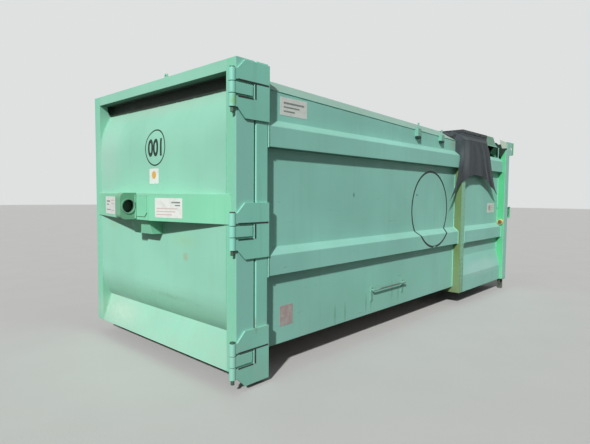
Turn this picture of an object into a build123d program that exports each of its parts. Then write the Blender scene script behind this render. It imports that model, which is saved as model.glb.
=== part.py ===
from build123d import *
import math
import os

# Roll-off compactor: a closed container with a side-hinged tailgate, a press section with an open
# hopper, a power pack behind the hopper and a hook frame at the far end. Millimetres.
# X runs from the tailgate to the hook end, Y across, Z up from the ground. While a piece is drawn,
# X is measured from the tailgate's face, and save() then moves it to the middle of the whole object.

# Lengths along X
tailgate_depth = 180.0
tailgate_gap = 20.0
rear_post = 135.0
body_length = 3703.0
press_length = 1597.0
end_frame_depth = 165.0
hook_bar_reach = 166.0
lug_reach = 349.0

# Widths across Y
body_width = 2400.0
press_step_out = 34.0
frame_step_out = 41.0
tailgate_side_gap = 0.5

# Heights
tailgate_bottom = 147.0
tailgate_top = 2583.0
post_bottom = 35.0
frame_top = 2585.0
floor_top = 260.0
sill_raise = 3.0
header_height = 145.0
press_bottom = 175.0
roof_rear = 2520.0
roof_front = 2417.0
press_roof_top = 2440.0
roof_chamfer = 100.0
chamber_height = 860.0
hopper_top = 2489.0
hook_bar_height = 1570.0

# Sheets, plates and clearances
sheet = 4.0
bend = 9.0
floor_plate = 5.0
wall = 6.0
plate = 8.0
seat_gap = 0.3
move_gap = 0.5
running_gap = 0.05
drain_radius = 12.0

# Side ribs
rib_depth = 70.0
rib_height = 174.0
rib_shoulder = 60.0
lower_rib = 874.0
upper_rib = 1935.0
skirt_slope_top = 683.0
skirt_slope_foot = 409.0

# Under frame
cross_member_height = 45.0
cross_member_width = 80.0
cross_member_first = 435.0
cross_member_pitch = 560.0
cross_member_count = 10
cross_member_inset = 86.0
runner_height = 160.0
runner_flange = 82.0
runner_web = 8.0
runner_flange_thickness = 9.0
runner_spacing = 978.0
runner_root = 9.0

# Rear rollers
roller_radius = 90.0
roller_width = 200.0
roller_offset = 740.0
roller_axle_radius = 20.0
roller_side_play = 4.0
mount_plate = 12.0
mount_half_length = 95.0

# Tailgate
tailgate_post_width = 118.0
tailgate_rail_height = 90.0
tailgate_foot_rail = 83.0
foot_rail_setback = 60.0
tailgate_sheet = 5.0
recess_depth = 135.0
recess_bottom_depth = 125.0
recess_bottom = 2391.0
flush_top = 1970.0
flush_bottom = 735.0
kick_depth = 97.0
kick_top = 431.0
lining_setback = 4.0

# Crossbeam and pull lug on the tailgate
beam_bottom = 1318.0
beam_height = 230.0
beam_reach = 196.0
beam_end_inset = 77.5
beam_half_flat = 260.0
lug_thickness = 90.0
lug_bottom = 1321.0
lug_height = 237.0
lug_bore = 57.5
lug_rim = 8.0
doubler_near = 60.0
doubler_far = 235.0
doubler_height = 192.0
doubler_cut = 35.0
doubler_inset = 7.0
stem_half_width = 160.0
stem_foot = 1186.0
stem_foot_reach = 100.0
stem_head_inset = 49.0

# Lifting eye on the tailgate's top rail
eye_x = 50.0
eye_y = -151.0
eye_plate = 12.0
eye_half_width = 24.0
eye_height = 34.0
eye_bore = 11.0

# Hinges at the tailgate's left edge
hinge_axis_x = -30.0
hinge_axis_inset = 10.0
hinge_barrel_radius = 28.0
hinge_pin_radius = 15.0
hinge_plate = 15.0
hinge_heights = {"lower": 259.5, "middle": 1266.0, "upper": 2349.5}
hinge_lug_height = 83.0
hinge_slot_gap = 20.0
hinge_knuckle_gap = 5.0
hinge_knuckle_height = 96.0
hinge_chamfer = 78.0
hinge_lug_length = 155.0
hinge_slot_end = 170.0

# Latch at the tailgate's right edge
latch_x = 268.0
latch_offset = 35.0
latch_shaft_radius = 20.0
latch_bottom = 180.0
latch_top = 2450.0
latch_claw_heights = (620.0, 2030.0)
latch_bearing_heights = (300.0, 1280.0, 2330.0)
latch_claw_thickness = 20.0
latch_claw_reach = 173.0
latch_claw_width = 26.0
latch_tip_width = 15.0
latch_tip_gap = 5.0
latch_hub_radius = 33.0
latch_released = 8.0
latch_handle_height = 1000.0
latch_handle_reach = 200.0
latch_grip_length = 350.0
latch_grip_radius = 10.0
keeper_gap = 2.0
keeper_thickness = 15.0
keeper_depth = 20.0
keeper_height = 80.0

# Seal between the tailgate and the rear frame
seal_width = 35.0
seal_inset = 90.0

# Press section
bulkhead_post = 120.0
throat_inset = 108.0
window_length = 490.0
window_end_gap = 35.0
roof_side_gap = 55.0
collar_offset = 166.0
collar_length = 882.0
collar_inset = 84.0
collar_foot = 2346.0
collar_lip = 12.0
mouth_gap = 10.0
mouth_lap = 2.0
hood_gap = 16.0
hood_length = 288.0
hood_slope = 170.0

# End frame with the corner plates on its posts
end_post_rise = 194.0
corner_plate_start = 65.0
corner_plate_reach = 190.0
corner_plate_drop = 7.0
corner_plate_height = 199.0
corner_plate_foot = 219.0
corner_plate_hole = 32.0
corner_flange = 125.0

# Ram and its telescopic cylinders
ram_length = 960.0
ram_back_gap = 40.0
ram_side_play = 4.0
ram_top_play = 8.0
ram_wall = 12.0
ram_face = 20.0
cylinder_spacing = 1000.0
cylinder_height = 690.0
barrel_radius = 75.0
stage_radius = 60.0
rod_radius = 42.0
cylinder_length = 900.0
stage_length = 870.0

# Power pack
tank_length = 620.0
tank_width = 620.0
tank_height = 560.0
tank_back_gap = 169.0
tank_inset = 74.0
motor_radius = 130.0
motor_height = 460.0
motor_start_gap = 279.0
motor_inset = 170.0

# Hook frame and hook bar
hook_bar_radius = 25.0
hook_clear_width = 300.0
hook_cheek = 25.0
hook_cheek_radius = 40.0
hook_leg_depth = 80.0
hook_frame_top = 1700.0
hook_foot_half = 540.0
hook_leg_foot = 120.0
hook_leg_head = 100.0

# Front feet
foot_end_gap = 2.0
foot_length = 70.0
foot_width = 60.0
foot_strut_spread = 77.0
foot_plate = 12.0

# Loading skirt round the hopper
cloth = 6.0
cloth_overhang = 459.0
cloth_end_gap = 11.0
cloth_eave_length = 1117.0
cloth_drop = 865.0
cloth_standoff = 23.0
cloth_shoulder_inset = 89.0
cloth_eave = 2330.0
cloth_wave = 10.0
cloth_folds = 5
clamp_bar_height = 40.0
clamp_bar = 6.0

# Outline of a hanging panel: shares of the eave's length and of the longest drop
cloth_left_edge = ((0.021, 0.805), (0.062, 0.644), (0.094, 0.443), (0.065, 0.228))
cloth_left_tip = (-0.127, 1.0)
cloth_hem = ((1.313, 0.829), (1.140, 0.740), (0.920, 0.623), (0.613, 0.570), (0.296, 0.676), (0.111, 0.762))
cloth_right_tip = (1.443, 0.887)
cloth_right_edge = ((1.099, 0.156), (1.175, 0.375), (1.258, 0.600), (1.360, 0.783))

# Service door, control box and switches on the end wall
service_width = 620.0
service_hinge_inset = 64.0
service_lower_hinge = 120.0
service_upper_hinge = 200.0
service_bottom = 1200.0
service_top = 2200.0
service_overlap = 15.0
service_door_plate = 5.0
service_hinge_radius = 10.0
service_pin_radius = 5.0
control_width = 300.0
control_height = 400.0
control_depth = 150.0
control_side = -700.0
control_bottom = 1250.0
switch_radius = 32.0
stop_radius = 46.0
stop_height = 1122.0
stop_button_radius = 30.0
stop_travel = 8.0
inlet_height = 1273.0
inlet_box_length = 130.0
inlet_box_height = 186.0
inlet_box_width = 125.0
inlet_pocket_depth = 60.0
flap_axis_rise = 14.0
flap_axis_reach = 42.0
inlet_radius = 42.0

# Brackets on the body's sides
stake_starts = (2871.0, 3508.0)
stake_width = 78.0
stake_depth = 42.0
stake_wall = 5.0
stake_shelf = 45.0
stake_pin_rise = 70.0
stake_bottom = 2244.0
stake_pin_radius = 10.0
side_bar_start = 1950.0
side_bar_length = 696.0
side_bar_height = 516.0
side_bar_radius = 9.0
side_bar_standoff = 40.0
side_bar_pad_width = 40.0
side_bar_pad_height = 150.0
side_bar_pad_above = 28.0

# Sizes worked out from the driving values
post_front = tailgate_depth + tailgate_gap
body_start = post_front + rear_post
body_end = body_start + body_length
press_start = body_end + plate
press_end = body_end + press_length
frame_front = press_end + end_frame_depth
hook_bar_x = frame_front + hook_bar_reach
front_reach = hook_bar_x + hook_cheek_radius
overall_length = lug_reach + front_reach
door_x = lug_reach - overall_length / 2
half_body = body_width / 2
half_press = half_body + press_step_out
half_frame = half_press + frame_step_out
half_door = half_body - tailgate_side_gap
body_root = half_body - rib_depth
press_root = half_press - rib_depth
floor_bottom = floor_top - floor_plate
cross_member_bottom = floor_bottom - cross_member_height
runner_bottom = cross_member_bottom - runner_height
chamber_top = floor_top + chamber_height
sill_bottom = tailgate_bottom + sill_raise
header_bottom = frame_top - header_height
hinge_axis_y = -(half_body - hinge_axis_inset)
latch_y = half_body + latch_offset
door_inner = half_door - tailgate_post_width
beam_half_span = door_inner - beam_end_inset
throat_half_width = press_root - throat_inset
collar_start = body_end + collar_offset
collar_end = collar_start + collar_length
collar_half_width = half_press - collar_inset
window_end = press_end - window_end_gap
window_start = window_end - window_length
cylinder_base = frame_front - plate
ram_front = frame_front - ram_back_gap - ram_length
mouth_end = ram_front - mouth_gap
deck = chamber_top + plate
tank_start = frame_front - tank_back_gap - tank_length
tank_side = press_root - tank_inset
motor_x = tank_start + motor_start_gap
motor_y = -tank_side + motor_inset
foot_start = frame_front - foot_end_gap - foot_length
cloth_start = collar_start - cloth_overhang
cloth_end = collar_end + cloth_end_gap
cloth_half_width = half_press + cloth_standoff
cloth_shoulder = press_root - cloth_shoulder_inset
service_hinge_side = press_root - service_hinge_inset
service_side = service_hinge_side - service_width
service_hinge_places = (service_bottom + service_lower_hinge, service_top - service_upper_hinge)
service_hinge_x = frame_front + service_hinge_radius + 2
inlet_x = frame_front + inlet_box_length / 2
inlet_back = -half_frame + inlet_pocket_depth
flap_axis_z = inlet_height + inlet_radius + flap_axis_rise
flap_axis_y = inlet_back - flap_axis_reach

os.makedirs("parts", exist_ok=True)


def save(name, shape):
    """Write one node, moved so that the row's origin is the middle of the whole object's base."""
    export_step(Pos(door_x, 0, 0) * shape, os.path.join("parts", name + ".step"))


def block(x_from, x_to, y_from, y_to, z_from, z_to):
    """A straight block between two opposite corners."""
    centre = Pos((x_from + x_to) / 2, (y_from + y_to) / 2, (z_from + z_to) / 2)
    return centre * Box(x_to - x_from, y_to - y_from, z_to - z_from)


def along_x(profile, x_from, x_to):
    """Extrude a sketch drawn in (y, z) from one X to another."""
    plane = Plane(origin=(x_from, 0, 0), x_dir=(0, 1, 0), z_dir=(1, 0, 0))
    return extrude(plane * profile, amount=x_to - x_from)


def along_y(profile, y_from, y_to):
    """Extrude a sketch drawn in (x, z) from one Y to another."""
    plane = Plane(origin=(0, y_to, 0), x_dir=(1, 0, 0), z_dir=(0, -1, 0))
    return extrude(plane * profile, amount=y_to - y_from)


def along_z(profile, z_from, z_to):
    """Extrude a sketch drawn in (x, y) from one Z to another."""
    return extrude(Pos(0, 0, z_from) * profile, amount=z_to - z_from)


def polygon(points):
    """A closed straight-sided sketch through the points."""
    return make_face(Polyline(*points, close=True))


def folded_sheet(points, thickness, side=Side.LEFT):
    """The section of a sheet that is bent along the points, with a radius at every fold."""
    return make_face(offset(FilletPolyline(*points, radius=bend), thickness, kind=Kind.ARC, side=side))


def tube_section(width, height, thickness, corner):
    """The section of a hollow bar with rounded corners."""
    hollow = RectangleRounded(width - 2 * thickness, height - 2 * thickness, corner - thickness)
    return RectangleRounded(width, height, corner) - hollow


def rod_x(radius, x_from, x_to, y, z):
    """A round bar along X."""
    return along_x(Pos(y, z) * Circle(radius), x_from, x_to)


def rod_y(radius, y_from, y_to, x, z):
    """A round bar along Y."""
    return along_y(Pos(x, z) * Circle(radius), y_from, y_to)


def rod_z(radius, z_from, z_to, x, y):
    """A round bar along Z."""
    return along_z(Pos(x, y) * Circle(radius), z_from, z_to)


def other_side(shape):
    """The same piece on the other side of the container."""
    return mirror(shape, about=Plane.XZ)


def both_sides(shape):
    """A piece and its twin on the other side."""
    return shape + other_side(shape)


def roof_height(x):
    """The height of the body's roof, which falls from the tailgate to the press section."""
    return roof_rear + (roof_front - roof_rear) * (x - body_start) / body_length


def rib_points(root, crest):
    """The outline of the two pressed ribs: square below, sloped above."""
    points = []
    for bottom in (lower_rib, upper_rib):
        top = bottom + rib_height
        points += [(root, bottom), (crest, bottom), (crest, top), (root, top + rib_shoulder)]
    return points


# Container body
def body_side():
    """Right-hand side of the body: one sheet with two pressed ribs and a top edge that falls."""
    points = [(body_root, floor_bottom)] + rib_points(body_root, half_body) + [(body_root, roof_rear)]
    side = along_x(folded_sheet(points, sheet), body_start, body_end)
    above = polygon([
        (body_start - 1, roof_height(body_start - 1) - roof_chamfer),
        (body_end + 1, roof_height(body_end + 1) - roof_chamfer),
        (body_end + 1, roof_rear + 1),
        (body_start - 1, roof_rear + 1),
    ])
    return side - along_y(above, 0, half_body + 1)


def roof_section(x):
    """Section of the roof sheet at one place: a flat top with a chamfer down to each side."""
    top = roof_height(x)
    foot = top - roof_chamfer
    shoulder = body_root - roof_chamfer
    inner_shoulder = shoulder - sheet * math.tan(math.radians(22.5))
    inner_foot = body_root - sheet * math.sqrt(2)
    half = [(body_root, foot), (shoulder, top)]
    inner = [(inner_shoulder, top - sheet), (inner_foot, foot)]
    outline = half + [(-y, z) for y, z in reversed(half)]
    outline += [(-y, z) for y, z in reversed(inner)] + inner
    plane = Plane(origin=(x, 0, 0), x_dir=(0, 1, 0), z_dir=(1, 0, 0))
    return plane * polygon(outline)


def rear_post_piece():
    """Right-hand post of the rear frame: a hollow bar with a closed top."""
    centre = Pos(post_front + rear_post / 2, half_body - rear_post / 2)
    tube = along_z(centre * tube_section(rear_post, rear_post, wall, 12), post_bottom, frame_top)
    lid = along_z(centre * RectangleRounded(rear_post, rear_post, 12), frame_top - wall, frame_top)
    return tube + lid


def rear_bar(z_from, z_to):
    """Header or sill between the two posts."""
    centre = Pos(post_front + rear_post / 2, (z_from + z_to) / 2)
    section = centre * tube_section(rear_post, z_to - z_from, wall, 12)
    inner = half_body - rear_post
    return along_y(section, -inner, inner)


def floor_piece():
    """Floor sheet, cut out round the two rear posts."""
    edge = body_root - sheet
    post_corner = block(post_front, body_start, half_body - rear_post, half_body, 0, frame_top)
    return block(post_front, body_end, -edge, edge, floor_bottom, floor_top) - both_sides(post_corner)


save("floor_plate", floor_piece())
save("body_side_right", body_side())
save("body_side_left", other_side(body_side()))
save("roof", loft([roof_section(body_start), roof_section(body_end)], ruled=True))
save("rear_post_right", rear_post_piece())
save("rear_post_left", other_side(rear_post_piece()))
save("rear_header", rear_bar(header_bottom, frame_top))
save("rear_sill", rear_bar(sill_bottom, floor_bottom))


# Under frame
def cross_member(x):
    """A channel across the floor, open downwards."""
    outline = Pos(x, cross_member_bottom + cross_member_height / 2)
    outer = outline * Rectangle(cross_member_width, cross_member_height)
    inner = Pos(x, cross_member_bottom + cross_member_height / 2 - wall)
    hollow = inner * Rectangle(cross_member_width - 2 * wall, cross_member_height)
    span = body_root - sheet - cross_member_inset
    return along_y(outer - hollow, -span, span)


def runner():
    """Right-hand runner: a rolled beam with flanges and rounded roots."""
    centre = Pos(runner_spacing / 2, runner_bottom + runner_height / 2)
    web = Rectangle(runner_web, runner_height)
    flange_offset = (runner_height - runner_flange_thickness) / 2
    section = web
    for side in (-1, 1):
        section += Pos(0, side * flange_offset) * Rectangle(runner_flange, runner_flange_thickness)
    roots = section.vertices().filter_by(lambda v: abs(abs(v.X) - runner_web / 2) < 0.1)
    return along_x(centre * fillet(roots, runner_root), body_start, frame_front - plate)


member_places = [cross_member_first + i * cross_member_pitch for i in range(cross_member_count)]
save("cross_members", Compound(children=[cross_member(x) for x in member_places]))
save("runner_right", runner())
save("runner_left", other_side(runner()))


# Rear rollers under the first cross-member
roller_x = cross_member_first
roller_in = roller_offset - roller_width / 2
roller_out = roller_offset + roller_width / 2
cheek_in = roller_in - roller_side_play
cheek_out = roller_out + roller_side_play


def roller():
    """Right-hand roller: a turned steel drum with a bored hub and hollow ends."""
    half = roller_width / 2
    profile = [
        (roller_axle_radius + running_gap, -half),
        (roller_axle_radius + 22, -half),
        (roller_axle_radius + 22, -half + 30),
        (roller_radius - 18, -half + 30),
        (roller_radius - 18, -half),
        (roller_radius - 5, -half),
        (roller_radius, -half + 5),
    ]
    profile += [(radius, -along) for radius, along in reversed(profile)]
    drum = revolve(polygon(profile), axis=Axis.Y)
    return Pos(roller_x, roller_offset, roller_radius) * drum


def roller_mount():
    """Right-hand roller bracket: two cheeks under a top plate that meets the cross-member."""
    cheek_outline = polygon([
        (roller_x - mount_half_length, cross_member_bottom - mount_plate),
        (roller_x - mount_half_length / 2, roller_radius - 2 * roller_axle_radius),
        (roller_x + mount_half_length / 2, roller_radius - 2 * roller_axle_radius),
        (roller_x + mount_half_length, cross_member_bottom - mount_plate),
    ])
    hole = Pos(roller_x, roller_radius) * Circle(roller_axle_radius + running_gap)
    cheek = fillet(cheek_outline.vertices().sort_by(Axis.Y)[:2], 30) - hole
    mount = along_y(cheek, cheek_in - mount_plate, cheek_in)
    mount += along_y(cheek, cheek_out, cheek_out + mount_plate)
    mount += block(roller_x - mount_half_length, roller_x + mount_half_length,
                   cheek_in - mount_plate, cheek_out + mount_plate,
                   cross_member_bottom - mount_plate, cross_member_bottom)
    return mount


def roller_axle():
    """Right-hand axle with a round head at each end."""
    reach = cheek_out + mount_plate
    start = cheek_in - mount_plate
    axle = rod_y(roller_axle_radius, start, reach, roller_x, roller_radius)
    axle += rod_y(roller_axle_radius + 8, reach, reach + 8, roller_x, roller_radius)
    axle += rod_y(roller_axle_radius + 8, start - 8, start, roller_x, roller_radius)
    return axle


save("rear_roller_right", roller())
save("rear_roller_left", other_side(roller()))
save("roller_mounts", both_sides(roller_mount()))
save("roller_axles", both_sides(roller_axle()))


# Tailgate
def lifting_eye():
    """Small plate with a round top and a hole."""
    profile = Pos(eye_y, tailgate_top + eye_height / 2) * Rectangle(2 * eye_half_width, eye_height)
    profile += Pos(eye_y, tailgate_top + eye_height) * Circle(eye_half_width)
    profile -= Pos(eye_y, tailgate_top + eye_height) * Circle(eye_bore)
    return along_x(profile, eye_x, eye_x + eye_plate)


def tailgate_frame():
    """Hollow posts and rails of the tailgate, with a lifting eye on the top rail."""
    rail_bottom = tailgate_top - tailgate_rail_height
    foot_top = tailgate_bottom + tailgate_foot_rail
    frame = both_sides(block(0, tailgate_depth, door_inner, half_door, tailgate_bottom, tailgate_top))
    frame += block(0, tailgate_depth, -door_inner, door_inner, rail_bottom, tailgate_top)
    frame += block(foot_rail_setback, tailgate_depth, -door_inner, door_inner, tailgate_bottom, foot_top)
    post_hollow = block(wall, tailgate_depth - wall, door_inner + wall, half_door - wall,
                        tailgate_bottom + wall, tailgate_top - wall)
    reach = door_inner + wall + 1
    hollow = both_sides(post_hollow)
    hollow += block(wall, tailgate_depth - wall, -reach, reach, rail_bottom + wall, tailgate_top - wall)
    hollow += block(foot_rail_setback + wall, tailgate_depth - wall, -reach, reach,
                    tailgate_bottom + wall, foot_top - wall)
    drain = rod_z(drain_radius, tailgate_bottom - 1, tailgate_bottom + wall + 1,
                  tailgate_depth / 2, half_door - tailgate_post_width / 2)
    return frame - hollow - both_sides(drain) + lifting_eye()


def latch_keeper(height):
    """Small block on the tailgate's right edge behind which a claw hooks."""
    keeper_x = latch_x - latch_claw_reach + latch_tip_width + keeper_gap
    return block(keeper_x, keeper_x + keeper_thickness, half_door, half_door + keeper_depth,
                 height - keeper_height / 2, height + keeper_height / 2)


def hollow_curve(depth, edge, flush):
    """An arc that leaves the door's face upright at the flush height and reaches the depth at the edge."""
    rise = edge - flush
    radius = (depth ** 2 + rise ** 2) / (2 * depth)
    middle = math.asin(abs(rise) / radius) / 2
    return ThreePointArc(
        (depth, edge),
        (radius - radius * math.cos(middle), flush + math.copysign(radius * math.sin(middle), rise)),
        (0, flush),
    )


def tailgate_panel():
    """Front sheet: a recess under the top rail, a hollow curve, a flat middle, a second curve and a kick plate."""
    front = Polyline((recess_depth, tailgate_top - tailgate_rail_height), (recess_bottom_depth, recess_bottom))
    front += hollow_curve(recess_bottom_depth, recess_bottom, flush_top)
    front += Line((0, flush_top), (0, flush_bottom))
    front += hollow_curve(kick_depth, kick_top, flush_bottom)
    front += Line((kick_depth, kick_top), (0, tailgate_bottom))
    back = offset(front, tailgate_sheet, kind=Kind.INTERSECTION, side=Side.LEFT)
    return along_y(make_face(back), -door_inner, door_inner)


def tailgate_seal():
    """Rubber ring on the tailgate's back, just clear of the rear frame."""
    outer_half = half_body - seal_inset + seal_width
    z_low = sill_bottom + 35
    z_high = header_bottom + 90
    ring = block(tailgate_depth, post_front - seat_gap, -outer_half, outer_half, z_low, z_high)
    inner_half = outer_half - seal_width
    return ring - block(0, post_front, -inner_half, inner_half, z_low + seal_width, z_high - seal_width)


def crossbeam():
    """Box beam, V-shaped in plan, with a doubling plate beside the lug and a stem under it."""
    outline = [
        (0, -beam_half_span),
        (-beam_reach, -beam_half_flat),
        (-beam_reach, beam_half_flat),
        (0, beam_half_span),
    ]
    beam_top = beam_bottom + beam_height
    beam = along_z(polygon(outline), beam_bottom, beam_top)
    slope = math.hypot(beam_reach, beam_half_span - beam_half_flat) / beam_reach
    inner = [
        (0, -beam_half_span + wall * slope),
        (-beam_reach + wall, -beam_half_flat),
        (-beam_reach + wall, beam_half_flat),
        (0, beam_half_span - wall * slope),
    ]
    beam -= along_z(polygon(inner), beam_bottom + wall, beam_top - wall)
    doubler_top = beam_top - doubler_inset
    doubler_foot = doubler_top - doubler_height
    doubler = polygon([
        (-doubler_near, doubler_top),
        (-doubler_near, doubler_foot),
        (-doubler_far + doubler_cut, doubler_foot),
        (-doubler_far, doubler_foot + doubler_cut),
        (-doubler_far, doubler_top),
    ])
    beam += along_x(doubler, -beam_reach - plate, -beam_reach)
    stem_head = beam_reach - stem_head_inset
    stem = polygon([
        (0, stem_foot),
        (-stem_foot_reach, stem_foot),
        (-stem_head, beam_bottom),
        (0, beam_bottom),
    ])
    hollow = polygon([
        (0, stem_foot + wall),
        (-stem_foot_reach + wall, stem_foot + wall),
        (-stem_head + wall, beam_bottom + 1),
        (0, beam_bottom + 1),
    ])
    beam += along_y(stem, -stem_half_width, stem_half_width)
    beam -= along_y(hollow, -stem_half_width + wall, stem_half_width - wall) - block(
        -beam_reach, 0, -half_door, half_door, beam_bottom, beam_top)
    return beam


def pull_lug():
    """Thick plate with rounded outer corners, a cross bore and a raised rim round it."""
    length = lug_reach - beam_reach
    centre_x = -(beam_reach + length / 2)
    centre_z = lug_bottom + lug_height / 2
    outline = Pos(centre_x, centre_z) * Rectangle(length, lug_height)
    outline = fillet(outline.vertices().sort_by(Axis.X)[:2], 50)
    lug = along_y(outline, -lug_thickness / 2, lug_thickness / 2)
    rim = rod_y(lug_bore + 11, -lug_thickness / 2 - lug_rim, lug_thickness / 2 + lug_rim, centre_x, centre_z)
    bore = rod_y(lug_bore, -lug_thickness, lug_thickness, centre_x, centre_z)
    return lug + rim - bore


lining_back = tailgate_depth - lining_setback
save("tailgate_frame", tailgate_frame())
save("latch_keepers", Compound(children=[latch_keeper(height) for height in latch_claw_heights]))
save("tailgate_panel", tailgate_panel())
save("tailgate_lining", block(lining_back - wall, lining_back, -door_inner, door_inner,
                              tailgate_bottom + tailgate_foot_rail, tailgate_top - tailgate_rail_height))
save("tailgate_seal", tailgate_seal())
save("crossbeam", crossbeam())
save("pull_lug", pull_lug())


# Hinges
def hinge_knuckle(z_from, z_to):
    """One barrel of a hinge, without its bore."""
    return rod_z(hinge_barrel_radius, z_from, z_to, hinge_axis_x, hinge_axis_y)


def hinge_bore(z_from, z_to):
    """The bore through the barrels of one hinge."""
    return rod_z(hinge_pin_radius + running_gap, z_from, z_to, hinge_axis_x, hinge_axis_y)


def hinge_arms(height):
    """Plate on the rear post whose two prongs carry the outer barrels."""
    half_lug = hinge_lug_height / 2
    half_slot = half_lug + hinge_slot_gap
    edge = half_lug + hinge_knuckle_gap + hinge_knuckle_height
    top = edge + hinge_chamfer
    outline = [
        (hinge_axis_x, half_slot),
        (hinge_axis_x, edge),
        (0, edge),
        (hinge_chamfer, top),
        (body_start, top),
    ]
    lower = [(x, -z) for x, z in reversed(outline)]
    slot = [(hinge_slot_end, -half_slot), (hinge_slot_end, half_slot)]
    profile = Pos(0, height) * polygon(outline + lower + slot)
    arms = along_y(profile, -half_body - hinge_plate, -half_body)
    near = half_lug + hinge_knuckle_gap
    far = near + hinge_knuckle_height
    for z_from, z_to in ((near, far), (-far, -near)):
        arms += hinge_knuckle(height + z_from, height + z_to)
    return arms - hinge_bore(height - far - 1, height + far + 1)


def hinge_lug(height):
    """Lug plate on the tailgate's left edge with the middle barrel."""
    half_lug = hinge_lug_height / 2
    profile = Pos((hinge_axis_x + hinge_lug_length) / 2, height) * Rectangle(
        hinge_lug_length - hinge_axis_x, hinge_lug_height)
    lug = along_y(profile, -half_body - hinge_plate, -half_door)
    lug += hinge_knuckle(height - half_lug, height + half_lug)
    return lug - hinge_bore(height - half_lug - 1, height + half_lug + 1)


def hinge_pin(height):
    """Pin with a round cap that lies on the top barrel and an end that stands out below."""
    reach = hinge_lug_height / 2 + hinge_knuckle_gap + hinge_knuckle_height
    pin = rod_z(hinge_pin_radius, height - reach - 40, height + reach, hinge_axis_x, hinge_axis_y)
    cap = rod_z(hinge_pin_radius + 7, height + reach, height + reach + 10, hinge_axis_x, hinge_axis_y)
    return pin + cap


for place, height in hinge_heights.items():
    save("hinge_arms_" + place, hinge_arms(height))
save("hinge_lugs", Compound(children=[hinge_lug(height) for height in hinge_heights.values()]))
save("hinge_pins", Compound(children=[hinge_pin(height) for height in hinge_heights.values()]))


# Latch on the right-hand rear post
def latch_bar():
    """Upright shaft with two arms and a lever, and the tips welded on the arms, stood just released."""
    bar = rod_z(latch_shaft_radius, latch_bottom, latch_top, latch_x, latch_y)
    half_width = latch_claw_width / 2
    half_claw = latch_claw_thickness / 2
    tip_x = latch_x - latch_claw_reach
    hub = Pos(latch_x, latch_y) * Circle(latch_hub_radius)
    tips = []
    for height in latch_claw_heights:
        low = height - half_claw
        high = height + half_claw
        bar += along_z(hub, low, high)
        bar += block(tip_x, latch_x, latch_y - half_width, latch_y + half_width, low, high)
        tips.append(block(tip_x, tip_x + latch_tip_width, half_body + latch_tip_gap, latch_y - half_width,
                          low, high))
    grip_x = latch_x - latch_handle_reach
    lever = block(grip_x, latch_x, latch_y - 8, latch_y + 8, latch_handle_height - 20,
                  latch_handle_height + 20)
    lever += rod_z(latch_hub_radius - 3, latch_handle_height - 30, latch_handle_height + 30,
                   latch_x, latch_y)
    grip_low = latch_handle_height - 20
    lever += rod_z(latch_grip_radius, grip_low, grip_low + latch_grip_length, grip_x, latch_y)
    latch = Compound(children=[bar + lever] + tips)
    return latch.rotate(Axis((latch_x, latch_y, 0), (0, 0, 1)), -latch_released)


def latch_bearing(height):
    """Bearing block on the post's outer face."""
    half = latch_hub_radius - 3
    bearing = block(latch_x - half, latch_x + half, half_body, latch_y + half, height - 25, height + 25)
    bearing = fillet(bearing.edges().filter_by(Axis.Z).group_by(Axis.Y)[-1], 14)
    return bearing - rod_z(latch_shaft_radius + running_gap, height - 30, height + 30, latch_x, latch_y)


save("latch_bar", latch_bar())
save("latch_bearings", Compound(children=[latch_bearing(height) for height in latch_bearing_heights]))


# Press section
def press_side():
    """Right-hand side of the press section: ribs as on the body and a sloped foot, with a window."""
    points = [(half_press, press_bottom), (half_press, skirt_slope_foot), (press_root, skirt_slope_top)]
    points += rib_points(press_root, half_press) + [(press_root, press_roof_top - roof_chamfer)]
    side = along_x(folded_sheet(points, sheet), press_start, press_end)
    window_sill = upper_rib + rib_height + rib_shoulder + 6
    post = block(press_start, body_end + bulkhead_post, 0, half_press + 1, 0, press_roof_top)
    return side - post - block(window_start, window_end, 0, half_press, window_sill, press_roof_top)


def press_outline(half_width, bottom):
    """Section through the press section: upright sides and a chamfered top."""
    shoulder = press_root - roof_chamfer
    foot = press_roof_top - roof_chamfer
    half = [(half_width, bottom), (half_width, foot), (shoulder, press_roof_top)]
    if half_width > press_root:
        half.insert(2, (press_root, foot))
    return half + [(-y, z) for y, z in reversed(half)]


def press_bulkhead():
    """Wall between body and press section with the throat in it and a box post at each side."""
    outline = polygon(press_outline(half_press, press_bottom))
    throat_height = chamber_height
    throat = Pos(0, floor_top + throat_height / 2) * Rectangle(2 * throat_half_width, throat_height)
    runner_slot = Pos(runner_spacing / 2, press_bottom) * Rectangle(
        runner_flange + 2, 2 * (cross_member_bottom - press_bottom + 1))
    slots = runner_slot + mirror(runner_slot, about=Plane.YZ)
    bulkhead = along_x(outline - throat - slots, body_end, press_start)
    post_end = body_end + bulkhead_post
    foot = press_roof_top - roof_chamfer
    post = block(press_start, post_end, press_root, half_press, press_bottom, foot)
    post -= block(press_start, post_end - wall, press_root + wall, half_press - wall,
                  press_bottom, foot - wall)
    return bulkhead + both_sides(post)


def press_chamber():
    """Floor, side walls and rear cover of the space in which the ram runs."""
    side = block(press_start, frame_front - plate, throat_half_width, throat_half_width + plate,
                 floor_top, chamber_top)
    chamber = both_sides(side)
    chamber += block(press_start, frame_front - plate, -press_root, press_root, floor_bottom, floor_top)
    chamber += block(mouth_end + mouth_lap, frame_front - plate, -throat_half_width - plate,
                     throat_half_width + plate, chamber_top, chamber_top + plate)
    return chamber


def roof_hood():
    """Raised cover behind the hopper, sloped at its back, that ends on the roof sheet."""
    start = collar_end + hood_gap
    low = press_roof_top - roof_chamfer
    outline = polygon([
        (start, low),
        (start, hopper_top),
        (start + hood_length, hopper_top),
        (start + hood_length + hood_slope, low),
    ])
    hood = along_y(outline, -collar_half_width, collar_half_width)
    inside = offset(outline, -sheet, kind=Kind.INTERSECTION)
    hood -= along_y(inside, -collar_half_width + sheet, collar_half_width - sheet)
    return hood - along_x(polygon(press_outline(press_root, press_bottom)), press_start, frame_front)


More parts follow.
